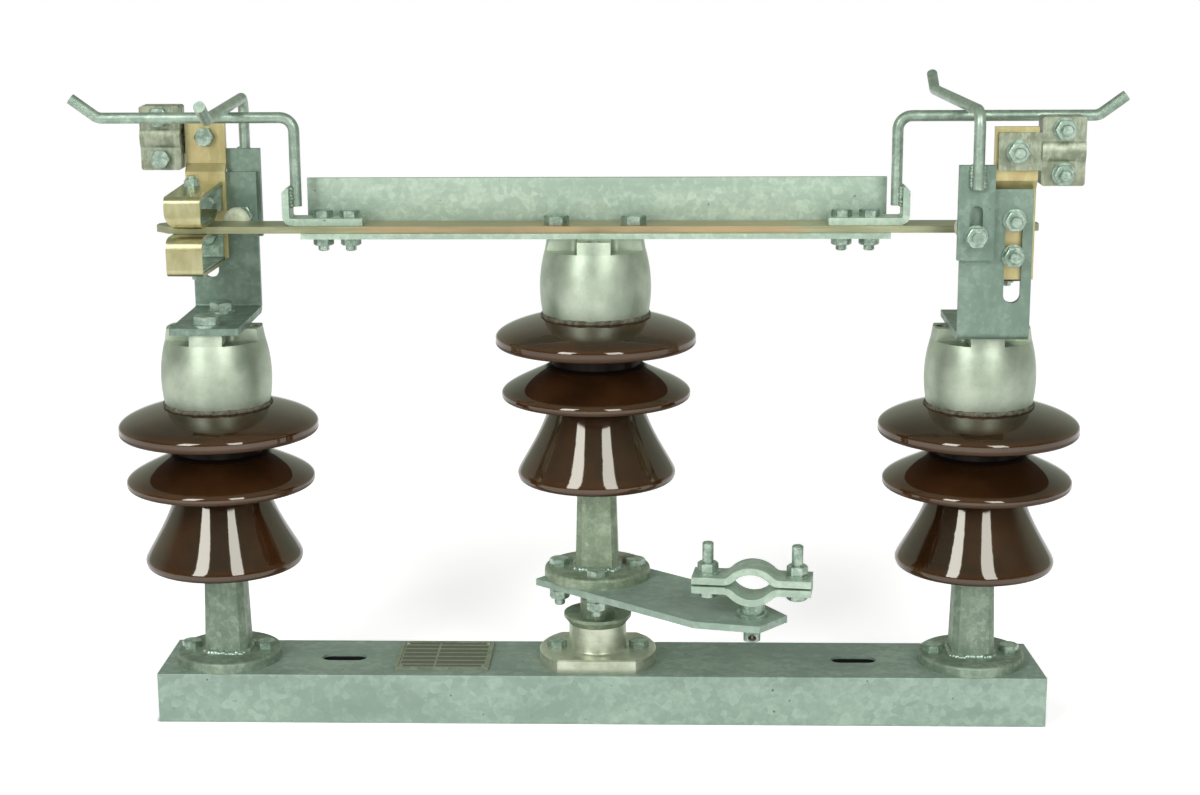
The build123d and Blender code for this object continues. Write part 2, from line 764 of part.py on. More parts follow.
with BuildPart() as fixed_horn:
    horn_y = bracket_face + horn_plate_wall + horn_radius
    run_end_x = plate_x + fixed_horn_drift
    foot = (plate_x, horn_y, blade_middle + fixed_horn_foot)
    with BuildLine():
        FilletPolyline(foot, (plate_x, horn_y, fixed_horn_z),
                       (run_end_x, -fixed_horn_reach, fixed_horn_z),
                       (run_end_x, -fixed_horn_reach - horn_tip_run,
                        fixed_horn_z + fixed_tip_rise), radius=horn_bend)
    with BuildSketch(Plane(foot, z_dir=(0, 0, 1))):
        Circle(horn_radius)
    sweep()
save_each_end(fixed_horn.part, "fixed_horn")

# Contact bar: behind the bracket plate, joggled out over its top edge to the terminal
finger_back = bracket_back - bar_wall
with BuildPart() as contact_bar:
    bar_bottom = blade_middle - bar_low
    bar_top = blade_middle + bar_high
    with BuildSketch(Plane.YZ.offset(contact_x - bar_width / 2)):
        with BuildLine():
            Polyline((finger_back, bar_bottom), (bracket_back, bar_bottom),
                     (bracket_back, bracket_top), (bracket_face, bracket_top + joggle),
                     (bracket_face, bar_top), (bracket_back, bar_top),
                     (bracket_back, bracket_top + joggle + joggle_lap),
                     (finger_back, bracket_top + joggle_lap), close=True)
        make_face()
    extrude(amount=bar_width)
    with BuildSketch(Plane.XZ.offset(-bracket_face)):
        with Locations((contact_x, blade_middle)):
            with GridLocations(1, 2 * contact_bolt_rise, 1, 2):
                Circle(m8_hole)
        with Locations((contact_x, terminal_z)):
            Circle(m8_hole)
    extrude(amount=4 * bar_wall, both=True, mode=Mode.SUBTRACT)
save_each_end(contact_bar.part, "contact_bar")

# Jaw: a looped strip above the blade and its mirror image below, sprung from inside
loop_low = blade_thickness / 2 + finger_gap + finger_wall / 2
tab_y = finger_back - finger_wall / 2
front_y = finger_wall / 2 - finger_reach


def looped_strip(points, side, height, nose_round, bends, wall, width):
    """A bent strip along points of (y, rise) with its outer nose corner rounded off.

    Side -1 hangs it below the blade. The contact bolt's hole goes through its tab.
    """
    with BuildPart() as made:
        with BuildSketch(Plane.YZ.offset(contact_x - width / 2)):
            with BuildLine():
                FilletPolyline(*[(y, blade_middle + side * rise) for y, rise in points],
                               radius=bends)
            trace(line_width=wall)
        extrude(amount=width)
        with BuildSketch(Plane.XZ) as front:
            with Locations((contact_x, blade_middle + side * height / 2)):
                Rectangle(finger_width, height)
            nose = (contact_x - finger_width / 2, blade_middle)
            fillet(front.vertices().sort_by_distance(nose)[0], nose_round)
        extrude(amount=bracket_face, both=True, mode=Mode.INTERSECT)
        with BuildSketch(Plane.XZ.offset(-finger_back)):
            with Locations((contact_x, blade_middle + side * contact_bolt_rise)):
                Circle(m8_hole)
        extrude(amount=2 * bar_wall, both=True, mode=Mode.SUBTRACT)
    return made.part


jaws = ((1, finger_height_upper, finger_nose_round_upper),
        (-1, finger_height_lower, finger_nose_round_lower))
finger_bends = [finger_bend, finger_bend, finger_front_bend, finger_bend]
for (side, height, nose_round), name in zip(jaws, ("upper_fingers", "lower_fingers")):
    loop_top = height - finger_wall / 2
    finger_points = [(tab_y, finger_tab), (tab_y, loop_top), (front_y, loop_top - finger_slope),
                     (front_y, loop_low), (finger_flat, loop_low),
                     (finger_flat + finger_lead, loop_low + finger_lead_rise)]
    finger = looped_strip(finger_points, side, height, nose_round, finger_bends, finger_wall,
                          finger_width)
    save_both_ends(finger, name)

slope = finger_slope / (tab_y - front_y)
inset = (finger_wall + spring_wall) / 2 + spring_gap
spring_tab = tab_y - inset
spring_front = front_y + inset
spring_bends = [bend - inset for bend in finger_bends[:3]]


def spring_rise(y, height):
    """Rise of the spring's upper run, just inside the sloping top of the finger."""
    loop_top = height - finger_wall / 2
    return loop_top - slope * (tab_y - y) - inset * math.hypot(1, slope)


with BuildPart() as spring_pair:
    for side, height, nose_round in jaws:
        spring_points = [(spring_tab, finger_tab), (spring_tab, spring_rise(spring_tab, height)),
                         (spring_front, spring_rise(spring_front, height)),
                         (spring_front, loop_low + inset), (spring_foot, loop_low + inset)]
        add(looped_strip(spring_points, side, height, nose_round, spring_bends, spring_wall,
                         finger_width - 2 * spring_inset))
save_both_ends(spring_pair.part, "finger_springs")

with BuildPart() as contact_bolt_pair:
    spring_face = finger_back - finger_wall - spring_gap - spring_wall
    contact_bolt = m8_bolt(bracket_face - spring_face).rotate(Axis.X, 90)
    for rise in (contact_bolt_rise, -contact_bolt_rise):
        with Locations((contact_x, spring_face, blade_middle + rise)):
            add(contact_bolt)
save_both_ends(contact_bolt_pair.part, "contact_bolts")

# Stop: a button just short of the blade, on a long bolt through the horn plate
stop_y = blade_width / 2 + stop_gap
button_back = stop_y + stop_length
outer_y = bracket_face + horn_plate_wall
with BuildPart() as stop_button:
    with BuildSketch(Plane.XZ.offset(-stop_y)):
        with Locations((plate_x, stop_z)):
            Circle(stop_radius)
    extrude(amount=-stop_length)
    fillet(stop_button.edges().sort_by(Axis.Y)[0], stop_round)
    with BuildSketch(Plane.XZ.offset(-button_back)):
        with Locations((plate_x, stop_z)):
            Circle(m8_radius)
    extrude(amount=stop_socket, mode=Mode.SUBTRACT)
save_both_ends(stop_button.part, "stop_buttons")

with BuildPart() as stop:
    stud_end = outer_y + washer_wall + m8_nut + thread_out
    with BuildSketch(Plane.XZ.offset(-button_back + stop_socket)):
        with Locations((plate_x, stop_z)):
            Circle(m8_radius)
    extrude(amount=-(stud_end - button_back + stop_socket))
    stop_nut = hexagon(m8_across, m8_nut)
    with Locations((plate_x, bracket_back, stop_z)):
        add(stop_nut.rotate(Axis.X, 90))
    with Locations((plate_x, outer_y + washer_wall, stop_z)):
        add(stop_nut.rotate(Axis.X, -90))
    with BuildSketch(Plane.XZ.offset(-outer_y)):
        with Locations((plate_x, stop_z)):
            Circle(m8_washer)
    extrude(amount=-washer_wall)
save_both_ends(stop.part, "stop_bolts")

# Terminal: pad on the contact bar with the outer clamp half, and a keeper behind it
block_right = contact_x - bar_width / 2 - clamp_block_gap
block_left = block_right - terminal_width
block_x = (block_left + block_right) / 2
split_y = bracket_face - bar_wall


def clamp_half(side):
    """One clamp half; side +1 lies on the far side of the split and -1 on the near side."""
    face = split_y + side * terminal_split / 2
    with BuildPart() as made:
        with BuildSketch(Plane.XZ.offset(-face)):
            with Locations((block_x, terminal_z)):
                RectangleRounded(terminal_width, terminal_height, terminal_corner)
        extrude(amount=-side * terminal_wall)
        with BuildSketch(Plane.YZ.offset(block_left)):
            with Locations((split_y, terminal_z)):
                Circle(terminal_bulge)
            with Locations((face - side * terminal_height, terminal_z)):
                Rectangle(2 * terminal_height, 2 * terminal_height, mode=Mode.SUBTRACT)
        extrude(amount=terminal_width)
        with BuildSketch(Plane.XZ.offset(-split_y)):
            with Locations((block_x, terminal_z)):
                with GridLocations(1, terminal_bolt_spacing, 1, 2):
                    Circle(m8_hole)
        extrude(amount=terminal_height, both=True, mode=Mode.SUBTRACT)
    return made.part


def cable_groove():
    """The cable's cylinder, just longer than the clamp block, to be cut away."""
    with BuildPart() as made:
        with Locations(Location((block_x, split_y, terminal_z), (0, 90, 0))):
            Cylinder(cable_radius, terminal_width + 2 * clamp_block_gap)
    return made.part


with BuildPart() as terminal:
    pad_left = block_right - pad_lap
    pad_right = contact_x + pad_width / 2
    add(clamp_half(1))
    with BuildSketch(Plane.XZ.offset(-bracket_face)):
        with Locations(((pad_left + pad_right) / 2, terminal_z)):
            RectangleRounded(pad_right - pad_left, pad_width, terminal_corner / 2)
    extrude(amount=-pad_wall)
    with BuildSketch(Plane.XZ.offset(-bracket_face)):
        with Locations((contact_x, terminal_z)):
            Circle(m8_hole)
    extrude(amount=2 * pad_wall, both=True, mode=Mode.SUBTRACT)
    add(cable_groove(), mode=Mode.SUBTRACT)
save_each_end(terminal.part, "terminal")

with BuildPart() as keeper:
    add(clamp_half(-1))
    add(cable_groove(), mode=Mode.SUBTRACT)
save_both_ends(keeper.part, "terminal_keepers")

with BuildPart() as terminal_bolt_set:
    with Locations((contact_x, bracket_back, terminal_z)):
        add(m8_bolt(bar_wall + pad_wall).rotate(Axis.X, 90))
    clamp_grip = 2 * terminal_wall + terminal_split
    clamp_screw = m8_bolt(clamp_grip).rotate(Axis.X, 90)
    for rise in (terminal_bolt_spacing / 2, -terminal_bolt_spacing / 2):
        with Locations((block_x, split_y - clamp_grip / 2, terminal_z + rise)):
            add(clamp_screw)
save_both_ends(terminal_bolt_set.part, "terminal_bolts")
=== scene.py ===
import math
import bmesh
import bpy
from mathutils import Matrix, Vector


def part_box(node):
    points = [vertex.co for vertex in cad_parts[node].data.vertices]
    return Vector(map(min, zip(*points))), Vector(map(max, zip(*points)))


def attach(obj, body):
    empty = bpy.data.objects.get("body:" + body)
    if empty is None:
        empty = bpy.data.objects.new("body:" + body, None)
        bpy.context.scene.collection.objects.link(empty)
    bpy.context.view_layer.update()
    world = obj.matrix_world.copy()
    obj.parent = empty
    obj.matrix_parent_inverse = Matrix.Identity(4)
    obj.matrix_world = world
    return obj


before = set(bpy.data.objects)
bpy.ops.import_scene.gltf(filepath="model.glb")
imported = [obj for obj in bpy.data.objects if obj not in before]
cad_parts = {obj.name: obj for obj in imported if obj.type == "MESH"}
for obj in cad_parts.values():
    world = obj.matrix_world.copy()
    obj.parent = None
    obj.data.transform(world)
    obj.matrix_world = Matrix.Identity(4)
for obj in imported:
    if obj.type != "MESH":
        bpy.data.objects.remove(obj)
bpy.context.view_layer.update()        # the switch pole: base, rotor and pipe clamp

mm = 0.001


def shade(red, green, blue):
    # levels from 0 to 255, made linear
    return tuple((c / 255 / 12.92) if c < 11 else ((c / 255 + 0.055) / 1.055) ** 2.4
                 for c in (red, green, blue)) + (1.0,)


def pick(sockets, key):
    if isinstance(key, int):
        return sockets[key]
    for socket in sockets:
        if socket.identifier == key:
            return socket
    return next(s for s in sockets if s.name == key and s.enabled)


class Value:
    # a node's output; arithmetic on it adds Math nodes
    def __init__(self, tree, socket):
        self.tree = tree
        self.socket = socket

    def maths(self, operation, *values):
        return self.tree.node("ShaderNodeMath", {"operation": operation},
                              dict(enumerate(values)))

    def __add__(self, other):
        return self.maths("ADD", self, other)

    def __radd__(self, other):
        return self.maths("ADD", other, self)

    def __sub__(self, other):
        return self.maths("SUBTRACT", self, other)

    def __rsub__(self, other):
        return self.maths("SUBTRACT", other, self)

    def __mul__(self, other):
        return self.maths("MULTIPLY", self, other)

    def __rmul__(self, other):
        return self.maths("MULTIPLY", other, self)

    def __truediv__(self, other):
        return self.maths("DIVIDE", self, other)

    def __pow__(self, other):
        return self.maths("POWER", self, other)

    def __abs__(self):
        return self.maths("ABSOLUTE", self)

    def least(self, other):
        return self.maths("MINIMUM", self, other)

    def most(self, other):
        return self.maths("MAXIMUM", self, other)

    def between(self, low, high):
        # 0 below low and 1 above high, smooth between; falls instead if low is the larger
        if low > high:
            return 1 - self.between(high, low)
        return self.tree.node("ShaderNodeMapRange", {"interpolation_type": "SMOOTHSTEP"},
                              {"Value": self, "From Min": low, "From Max": high}, "Result")


class Tree:
    def __init__(self, nodeTree):
        self.nodeTree = nodeTree

    def node(self, kind, settings=None, sockets=None, out=0):
        made = self.nodeTree.nodes.new(kind)
        for key, value in (settings or {}).items():
            if key == "stops":
                stops = made.color_ramp.elements
                while len(stops) < len(value):
                    stops.new(0.5)
                for stop, (place, tone) in zip(stops, value):
                    stop.position = place
                    stop.color = tone
            else:
                setattr(made, key, value)
        for key, value in (sockets or {}).items():
            target = pick(made.inputs, key)
            if isinstance(value, Value):
                self.nodeTree.links.new(value.socket, target)
            else:
                target.default_value = value
        return Value(self, pick(made.outputs, out)) if len(made.outputs) else made

    def place(self):
        return self.node("ShaderNodeTexCoord", {}, {}, "Object")

    def axes(self):
        # the three Object coordinates, in metres
        split = self.node("ShaderNodeSeparateXYZ", {}, {"Vector": self.place()})
        return [Value(self, s) for s in split.socket.node.outputs]

    def noise(self, size, detail=4.0, rough=0.55, stretch=(1, 1, 1), shift=(0, 0, 0)):
        # soft noise from 0 to 1 whose blotches are about size metres wide
        at = self.node("ShaderNodeMapping", {}, {"Vector": self.place(), "Scale": stretch,
                                                 "Location": shift})
        return self.node("ShaderNodeTexNoise", {}, {"Vector": at, "Scale": 1 / size,
                         "Detail": detail, "Roughness": rough}, "Fac")

    def flakes(self, size, output="Color"):
        cells = self.node("ShaderNodeTexVoronoi", {"feature": "F1"},
                          {"Vector": self.place(), "Scale": 1 / size}, output)
        if output == "Distance":
            return cells
        return self.node("ShaderNodeSeparateColor", {}, {"Color": cells}, "Red")

    def blend(self, factor, low, high, mode="MIX"):
        # low and high are colours or colour outputs
        return self.node("ShaderNodeMix", {"data_type": "RGBA", "blend_type": mode},
                         {"Factor_Float": factor, "A_Color": low, "B_Color": high},
                         "Result_Color")

    def bump(self, height, depth, strength=1.0):
        return self.node("ShaderNodeBump", {}, {"Height": height, "Distance": depth,
                                                "Strength": strength}, "Normal")


finishes = {}


def finish(name, sockets, tree, paintedShade=None, shadeSockets=None):
    # closes a material: sockets holds the Principled shader's values and links
    shader = tree.node("ShaderNodeBsdfPrincipled", {}, sockets, "BSDF")
    # an optional mask mixes in a second, dull shader: the glaze uses it for painted shade
    if paintedShade is not None:
        matt = tree.node("ShaderNodeBsdfPrincipled", {}, shadeSockets, "BSDF")
        shader = tree.node("ShaderNodeMixShader", {}, {"Fac": paintedShade, 1: shader, 2: matt}, "Shader")
    tree.node("ShaderNodeOutputMaterial", {}, {"Surface": shader})
    finishes[name] = tree.material
    return tree.material


def newFinish(name):
    material = bpy.data.materials.new(name)
    material.use_nodes = True
    material.node_tree.nodes.clear()
    tree = Tree(material.node_tree)
    tree.material = material
    return tree


# Hot-dip zinc: cloudy grey-green with soft spangle, pale bloom and a few dark specks
zincLooks = {
    "steelZinc": {"pale": shade(166, 186, 171), "mid": shade(151, 171, 157),
                  "dark": shade(132, 152, 139), "cloud": 0.045, "spangle": 0.006,
                  "streak": (0.35, 1, 1),
                  "rough": (0.42, 0.60), "metal": 0.45, "lumps": 0.00012, "rust": [],
                  # the slots' middle, half length, half width and top, mm
                  "slots": (193.0, 17.0, 7.0, 38.0)},
    "beamZinc": {"pale": shade(190, 209, 190), "mid": shade(172, 192, 174),
                 "dark": shade(146, 167, 151),
                 "cloud": 0.03, "spangle": 0.005, "streak": (0.18, 1, 1), "rough": (0.40, 0.56),
                 "metal": 0.45, "lumps": 0.00010, "rust": []},
    "ironZinc": {"pale": shade(154, 171, 150), "mid": shade(134, 152, 133),
                 "dark": shade(106, 124, 107),
                 "cloud": 0.018, "spangle": 0.004, "streak": (1, 1, 0.6), "rough": (0.36, 0.60),
                 "metal": 0.45, "lumps": 0.0005, "rust": []},
    "rotorZinc": {"pale": shade(166, 180, 154), "mid": shade(146, 161, 137),
                  "dark": shade(116, 132, 110),
                  "cloud": 0.018, "spangle": 0.004, "streak": (1, 1, 0.6), "rough": (0.34, 0.54),
                  "metal": 0.45, "lumps": 0.0008, "rust": [(0.022, 0.009, 0.1130, 0.014)]},
    # the brackets and horn plates take a darker copy of the zinc: painted shade
    "shadedBracketZinc": {"pale": shade(140, 159, 145), "mid": shade(123, 144, 130),
                    "dark": shade(100, 121, 107),
                    "cloud": 0.03, "spangle": 0.005, "streak": (1, 1, 0.5), "rough": (0.36, 0.56),
                    "metal": 0.5, "lumps": 0.00014, "rust": []},
    "rodZinc": {"pale": shade(176, 193, 178), "mid": shade(154, 173, 157),
                "dark": shade(128, 148, 132),
                "cloud": 0.02, "spangle": 0.003, "streak": (1, 1, 1), "rough": (0.30, 0.48),
                "metal": 0.6, "lumps": 0.00005, "rust": []},
    "boltZinc": {"pale": shade(196, 213, 199), "mid": shade(166, 187, 171),
                 "dark": shade(118, 139, 124),
                 "cloud": 0.006, "spangle": 0.002, "streak": (1, 1, 1), "rough": (0.26, 0.42),
                 "metal": 0.7, "lumps": 0.00004, "rust": [(0.0240, 0.006, 0.1140, 0.010)]},
}


# Painted shade in the slots fades over its edge and from its top; rust is ragged at its rim
slotShadeLook = {"tone": shade(16, 21, 18), "edge": (0.6 * mm, 0.1 * mm), "top": (1.4 * mm, 2.4 * mm)}
rustSpot = {"dark": shade(70, 44, 28), "pale": shade(128, 84, 52), "ragged": 12 * mm,
            "core": 0.35, "amount": 0.85}
speckLook = {"tone": shade(46, 50, 42), "size": 11 * mm, "amount": 0.7}


def zinc(name):
    look = zincLooks[name]
    t = newFinish(name)
    cloud = t.noise(look["cloud"], 7.0, 0.62, look["streak"])
    wide = t.noise(look["cloud"] * 4, 3.0, 0.5, look["streak"], (3, 1, 7))
    fine = t.noise(look["cloud"] / 9, 3.0, 0.6, (1, 1, 1), (5, 2, 1))
    flake = t.flakes(look["spangle"])
    tone = (cloud * 0.62 + wide * 0.38).between(0.30, 0.72)
    body = t.blend(tone, look["dark"], look["mid"])
    bloom = (cloud * 0.5 + flake * 0.16 + fine * 0.34).between(0.42, 0.74)
    body = t.blend(bloom, body, look["pale"])
    specks = t.flakes(speckLook["size"], "Distance").between(0.13, 0.06) * fine.between(0.5, 0.62)
    body = t.blend(specks * speckLook["amount"], body, speckLook["tone"])
    rust = None
    x, y, z = t.axes()
    if "slots" in look:  # painted shade low on the walls of the two long slots
        middle, halfLong, halfWide, top = (size * mm for size in look["slots"])
        outer, inner = slotShadeLook["edge"]
        fade, full = slotShadeLook["top"]
        darkBand = abs(abs(x) - middle).between(halfLong + outer, halfLong + inner)
        darkBand = darkBand * abs(y).between(halfWide + outer, halfWide + inner)
        darkBand = darkBand * z.between(top - fade, top - full)
        body = t.blend(darkBand, body, slotShadeLook["tone"])
    for spotX, spotY, spotZ, reach in look["rust"]:
        away = ((x - spotX) ** 2 + (y - spotY) ** 2 + (z - spotZ) ** 2) ** 0.5
        ragged = away + (fine - 0.5) * rustSpot["ragged"]
        spot = ragged.between(reach, reach * rustSpot["core"])
        rust = spot if rust is None else rust.most(spot)
    if rust is not None:
        scale = t.blend(fine.between(0.35, 0.65), rustSpot["dark"], rustSpot["pale"])
        body = t.blend(rust * rustSpot["amount"], body, scale)
    low, high = look["rough"]
    rough = low + (high - low) * (1 - flake * 0.35 - tone * 0.4)
    metal = look["metal"] * (1 - specks * 0.6)
    if rust is not None:
        rough = rough + rust * 0.25
        metal = metal * (1 - rust * 0.9)
    height = cloud * 0.5 + fine * 0.3 + flake * 0.06
    return finish(name, {"Base Color": body, "Roughness": rough, "Metallic": metal,
                         "Normal": t.bump(height, look["lumps"] * 4, 0.6)}, t)


for zincName in zincLooks:
    zinc(zincName)
print("zinc finishes made")

# Brown glaze: thinner and redder over the rims; painted shade, near black in the hollows between
# the sheds and dull brown along the lower band of each rim
glazeLook = {"deep": shade(40, 24, 11), "body": shade(60, 36, 18), "thin": shade(70, 43, 22),
             "rims": [(73.5, 181.5), (69.5, 140.0), (58.5, 80.0)],  # radius and level, mm
             "rimWide": 4 * mm, "rimHigh": (9 * mm, 3 * mm), "pit": 9 * mm,
             "pitTone": shade(20, 12, 8), "index": 1.72, "gleam": (0.98, 0.96, 0.85, 1),
             "orangePeel": 0.13 * mm, "dustRough": 0.8, "dustGleam": 0.15,
             # painted shade bands, dull and dark: lowest and highest level, inner and outer radius,
             # how much
             "paintedShade": [(161, 177, 0, 46, 1.0), (129, 138, 0, 46, 0.9), (175, 180.3, 44, 90, 0.8),
                      (136, 140.2, 44, 90, 0.8), (74, 78.4, 44, 90, 0.8)],
             "hollowShade": shade(18, 11, 7), "dust": shade(66, 45, 28)}


def glaze(name, axisX, footZ):
    t = newFinish(name)
    x, y, z = t.axes()
    radius = ((x - axisX) ** 2 + y ** 2) ** 0.5
    rims, paintedShade = None, None
    for rimRadius, rimHeight in glazeLook["rims"]:
        outward = radius.between(rimRadius * mm - glazeLook["rimWide"], rimRadius * mm)
        level = abs(z - footZ - rimHeight * mm).between(*glazeLook["rimHigh"])
        rims = outward * level if rims is None else rims.most(outward * level)
    cloud = t.noise(0.05, 4.0, 0.5)
    run = t.noise(0.012, 3.0, 0.5, (1, 1, 0.25))
    body = t.blend(cloud.between(0.35, 0.7), glazeLook["deep"], glazeLook["body"])
    body = t.blend((rims * (0.35 + run * 0.5)).least(1.0), body, glazeLook["thin"])
    # painted shade: bands in the hollows between the sheds and along the lower face of each rim
    for low, high, inner, outer, amount in glazeLook["paintedShade"]:
        rise = z - footZ
        level = rise.between((low - 1) * mm, (low + 1) * mm)
        level = level * rise.between((high + 1) * mm, (high - 1) * mm)
        ring = radius.between((inner - 3) * mm, inner * mm)
        ring = ring * radius.between((outer + 3) * mm, outer * mm)
        band = level * ring * amount
        paintedShade = band if paintedShade is None else paintedShade.most(band)
    pits = t.flakes(glazeLook["pit"], "Distance").between(0.06, 0.03) * run.between(0.5, 0.62)
    body = t.blend(pits * 0.6, body, glazeLook["pitTone"])
    # painted shade colour: near black in the hollows near the axis, brown out at the rims; its dull
    # shader hides the reflections there
    dull = t.blend(radius.between(0.046, 0.056), glazeLook["hollowShade"], glazeLook["dust"])
    skin = t.bump(run * 0.7 + cloud * 2 - pits, glazeLook["orangePeel"], 0.5)
    return finish(name, {"Base Color": body, "Roughness": 0.04 + cloud * 0.04,
                         "IOR": glazeLook["index"], "Specular Tint": glazeLook["gleam"],
                         "Normal": skin}, t, paintedShade * (0.75 + run * 0.4).least(1.0),
                  {"Base Color": dull, "Roughness": glazeLook["dustRough"],
                   "Specular IOR Level": glazeLook["dustGleam"]})


print("glaze set up")

# Satin cast aluminium of the caps, with a sand-cast grain
capLook = {"pale": shade(190, 201, 182), "dark": shade(154, 167, 148), "pore": shade(110, 118, 104),
           "cloud": 30 * mm, "grain": 1.6 * mm, "rough": 0.36, "metal": 0.86, "lumps": 0.14 * mm}


def castAluminium():
    t = newFinish("castAluminium")
    cloud = t.noise(capLook["cloud"], 5.0, 0.55)
    grain = t.noise(capLook["grain"], 2.0, 0.6)
    body = t.blend(cloud.between(0.3, 0.7), capLook["dark"], capLook["pale"])
    pores = grain.between(0.60, 0.72)
    body = t.blend(pores * 0.25, body, capLook["pore"])
    return finish("castAluminium", {
        "Base Color": body, "Roughness": capLook["rough"] + cloud * 0.12 + grain * 0.06,
        "Metallic": capLook["metal"] - pores * 0.1,
        "Normal": t.bump(grain * 0.3 + cloud * 2.4, capLook["lumps"], 0.5)}, t)


castAluminium()

# Turned housing: beige plated metal with fine rings round its axis
housingLook = {"pale": shade(208, 215, 194), "dark": shade(170, 175, 154),
               "darkBand": shade(92, 92, 74), "foot": 38.5 * mm, "rings": 900.0,
               "cloud": 20 * mm, "rough": 0.30, "metal": 0.75, "lumps": 0.06 * mm}


def turnedMetal():
    t = newFinish("turnedMetal")
    x, y, z = t.axes()
    radius = (x ** 2 + y ** 2) ** 0.5
    around = t.node("ShaderNodeCombineXYZ", {}, {"X": radius, "Y": z})
    rings = t.node("ShaderNodeTexNoise", {}, {"Vector": around, "Scale": housingLook["rings"],
                                              "Detail": 2.0}, "Fac")
    cloud = t.noise(housingLook["cloud"], 5.0, 0.6)
    tone = (cloud * 0.85 + rings * 0.15).between(0.32, 0.68)
    body = t.blend(tone, housingLook["dark"], housingLook["pale"])
    # darker, patchy band just above the housing's foot, where it meets the dust cover
    darkBand = (z - housingLook["foot"]).between(4 * mm, 0.0) * cloud.between(0.4, 0.6)
    body = t.blend(darkBand * 0.5, body, housingLook["darkBand"])
    return finish("turnedMetal", {
        "Base Color": body, "Roughness": housingLook["rough"] + cloud * 0.16,
        "Metallic": housingLook["metal"] - darkBand * 0.4,
        "Normal": t.bump(rings * 0.25 + cloud * 2, housingLook["lumps"], 0.5)}, t)


turnedMetal()

# Blade: bare copper in the middle, plated pale gold from the beam's end bolts outwards
bladeLook = {"copper": shade(188, 166, 128), "tarnish": shade(164, 150, 116),
             "plate": shade(172, 175, 143), "plateDark": shade(142, 143, 110),
             "plated": (145 * mm, 195 * mm), "ragged": 0.12, "cloud": 20 * mm, "drag": 3.5 * mm,
             "rough": 0.26, "metal": 0.85, "lumps": 0.08 * mm}


def bladeMetal():
    t = newFinish("bladeMetal")
    x, y, z = t.axes()
    cloud = t.noise(bladeLook["cloud"], 5.0, 0.6, (0.3, 1, 1))
    drag = t.noise(bladeLook["drag"], 3.0, 0.6, (0.06, 1, 1))
    copper = t.blend((cloud * 0.6 + drag * 0.4).between(0.34, 0.66),
                     bladeLook["tarnish"], bladeLook["copper"])
    plate = t.blend((cloud * 0.5 + drag * 0.5).between(0.34, 0.66),
                    bladeLook["plateDark"], bladeLook["plate"])
    plated = (abs(x) + (cloud - 0.5) * bladeLook["ragged"]).between(*bladeLook["plated"])
    body = t.blend(plated, copper, plate)
    return finish("bladeMetal", {
        "Base Color": body, "Roughness": bladeLook["rough"] + drag * 0.2,
        "Metallic": bladeLook["metal"] + drag * 0.1,
        "Normal": t.bump(drag * 0.6 + cloud * 0.4, bladeLook["lumps"], 0.5)}, t)


bladeMetal()

# Yellow passivated contacts and the duller tinned terminals
platedLooks = {
    "giltMetal": {"pale": shade(192, 190, 150), "mid": shade(182, 179, 136),
                  "dark": shade(166, 161, 118), "tint": shade(176, 160, 122),
                  "cloud": 0.030, "rough": (0.24, 0.34), "metal": 0.88,
                  "dents": 0.00003},
    # the contact bars take a paler, less metallic copy of the gilt; the paleness is painted
    # reflection
    "litBarGilt": {"pale": shade(206, 199, 150), "mid": shade(196, 186, 136),
                 "dark": shade(174, 163, 114), "tint": shade(186, 164, 118),
                 "cloud": 0.030, "rough": (0.34, 0.46), "metal": 0.6,
                 "dents": 0.00003},
    "tinnedMetal": {"pale": shade(172, 180, 158), "mid": shade(150, 158, 138),
                    "dark": shade(122, 129, 109), "tint": shade(138, 134, 112),
                    "cloud": 0.010, "rough": (0.36, 0.52), "metal": 0.7,
                    "dents": 0.00008},
}


def plated(name):
    look = platedLooks[name]
    t = newFinish(name)
    cloud = t.noise(look["cloud"], 5.0, 0.6)
    rub = t.noise(look["cloud"] / 4, 3.0, 0.6, (1, 1, 0.3))
    body = t.blend(cloud.between(0.34, 0.66), look["dark"], look["mid"])
    body = t.blend((cloud * 0.4 + rub * 0.6).between(0.44, 0.68), body, look["pale"])
    stain = t.noise(look["cloud"] * 1.7, 2.0, 0.5, (1, 1, 1), (9, 4, 2)).between(0.5, 0.75)
    body = t.blend(stain * 0.5, body, look["tint"])
    low, high = look["rough"]
    return finish(name, {"Base Color": body, "Roughness": low + (high - low) * rub,
                         "Metallic": look["metal"] - cloud.between(0.6, 0.9) * 0.1,
                         "Normal": t.bump(cloud * 0.6 + rub * 0.4, look["dents"], 0.5)}, t)


for platedName in platedLooks:
    plated(platedName)

# Cream nylon buttons, grey cement, a rusty split pin
matteLooks = {
    "creamNylon": {"pale": shade(214, 222, 196), "dark": shade(186, 192, 164),
                   "size": 8 * mm, "rough": 0.42, "lumps": 0.06 * mm},
    "greyCement": {"pale": shade(112, 110, 92), "dark": shade(44, 42, 32),
                   "size": 4 * mm, "rough": 0.78, "lumps": 0.6 * mm},
    "rustyWire": {"pale": shade(104, 72, 54), "dark": shade(48, 34, 28),
                  "size": 2 * mm, "rough": 0.6, "lumps": 0.2 * mm},
}


def matte(name):
    look = matteLooks[name]
    t = newFinish(name)
    cloud = t.noise(look["size"], 5.0, 0.6)
    fine = t.noise(look["size"] / 6, 3.0, 0.6)
    body = t.blend((cloud * 0.6 + fine * 0.4).between(0.35, 0.65), look["dark"], look["pale"])
    return finish(name, {"Base Color": body, "Roughness": look["rough"] + fine * 0.15,
                         "Normal": t.bump(fine * 0.6 + cloud * 0.4, look["lumps"], 0.7)}, t)


for matteName in matteLooks:
    matte(matteName)

# Nameplate: etched dark fields between pale rules, with nothing written in them
plateLook = {"metal": shade(164, 170, 148), "scuffed": shade(134, 142, 120),
             "etched": shade(88, 96, 80), "rows": 7, "rule": (0.16, 0.26), "end": (0.97, 0.87),
             "column": 0.42, "columnRule": (0.008, 0.014), "frame": (0.05, 0.06),
             "rough": 0.34, "metallic": 0.7, "lumps": 0.12 * mm}


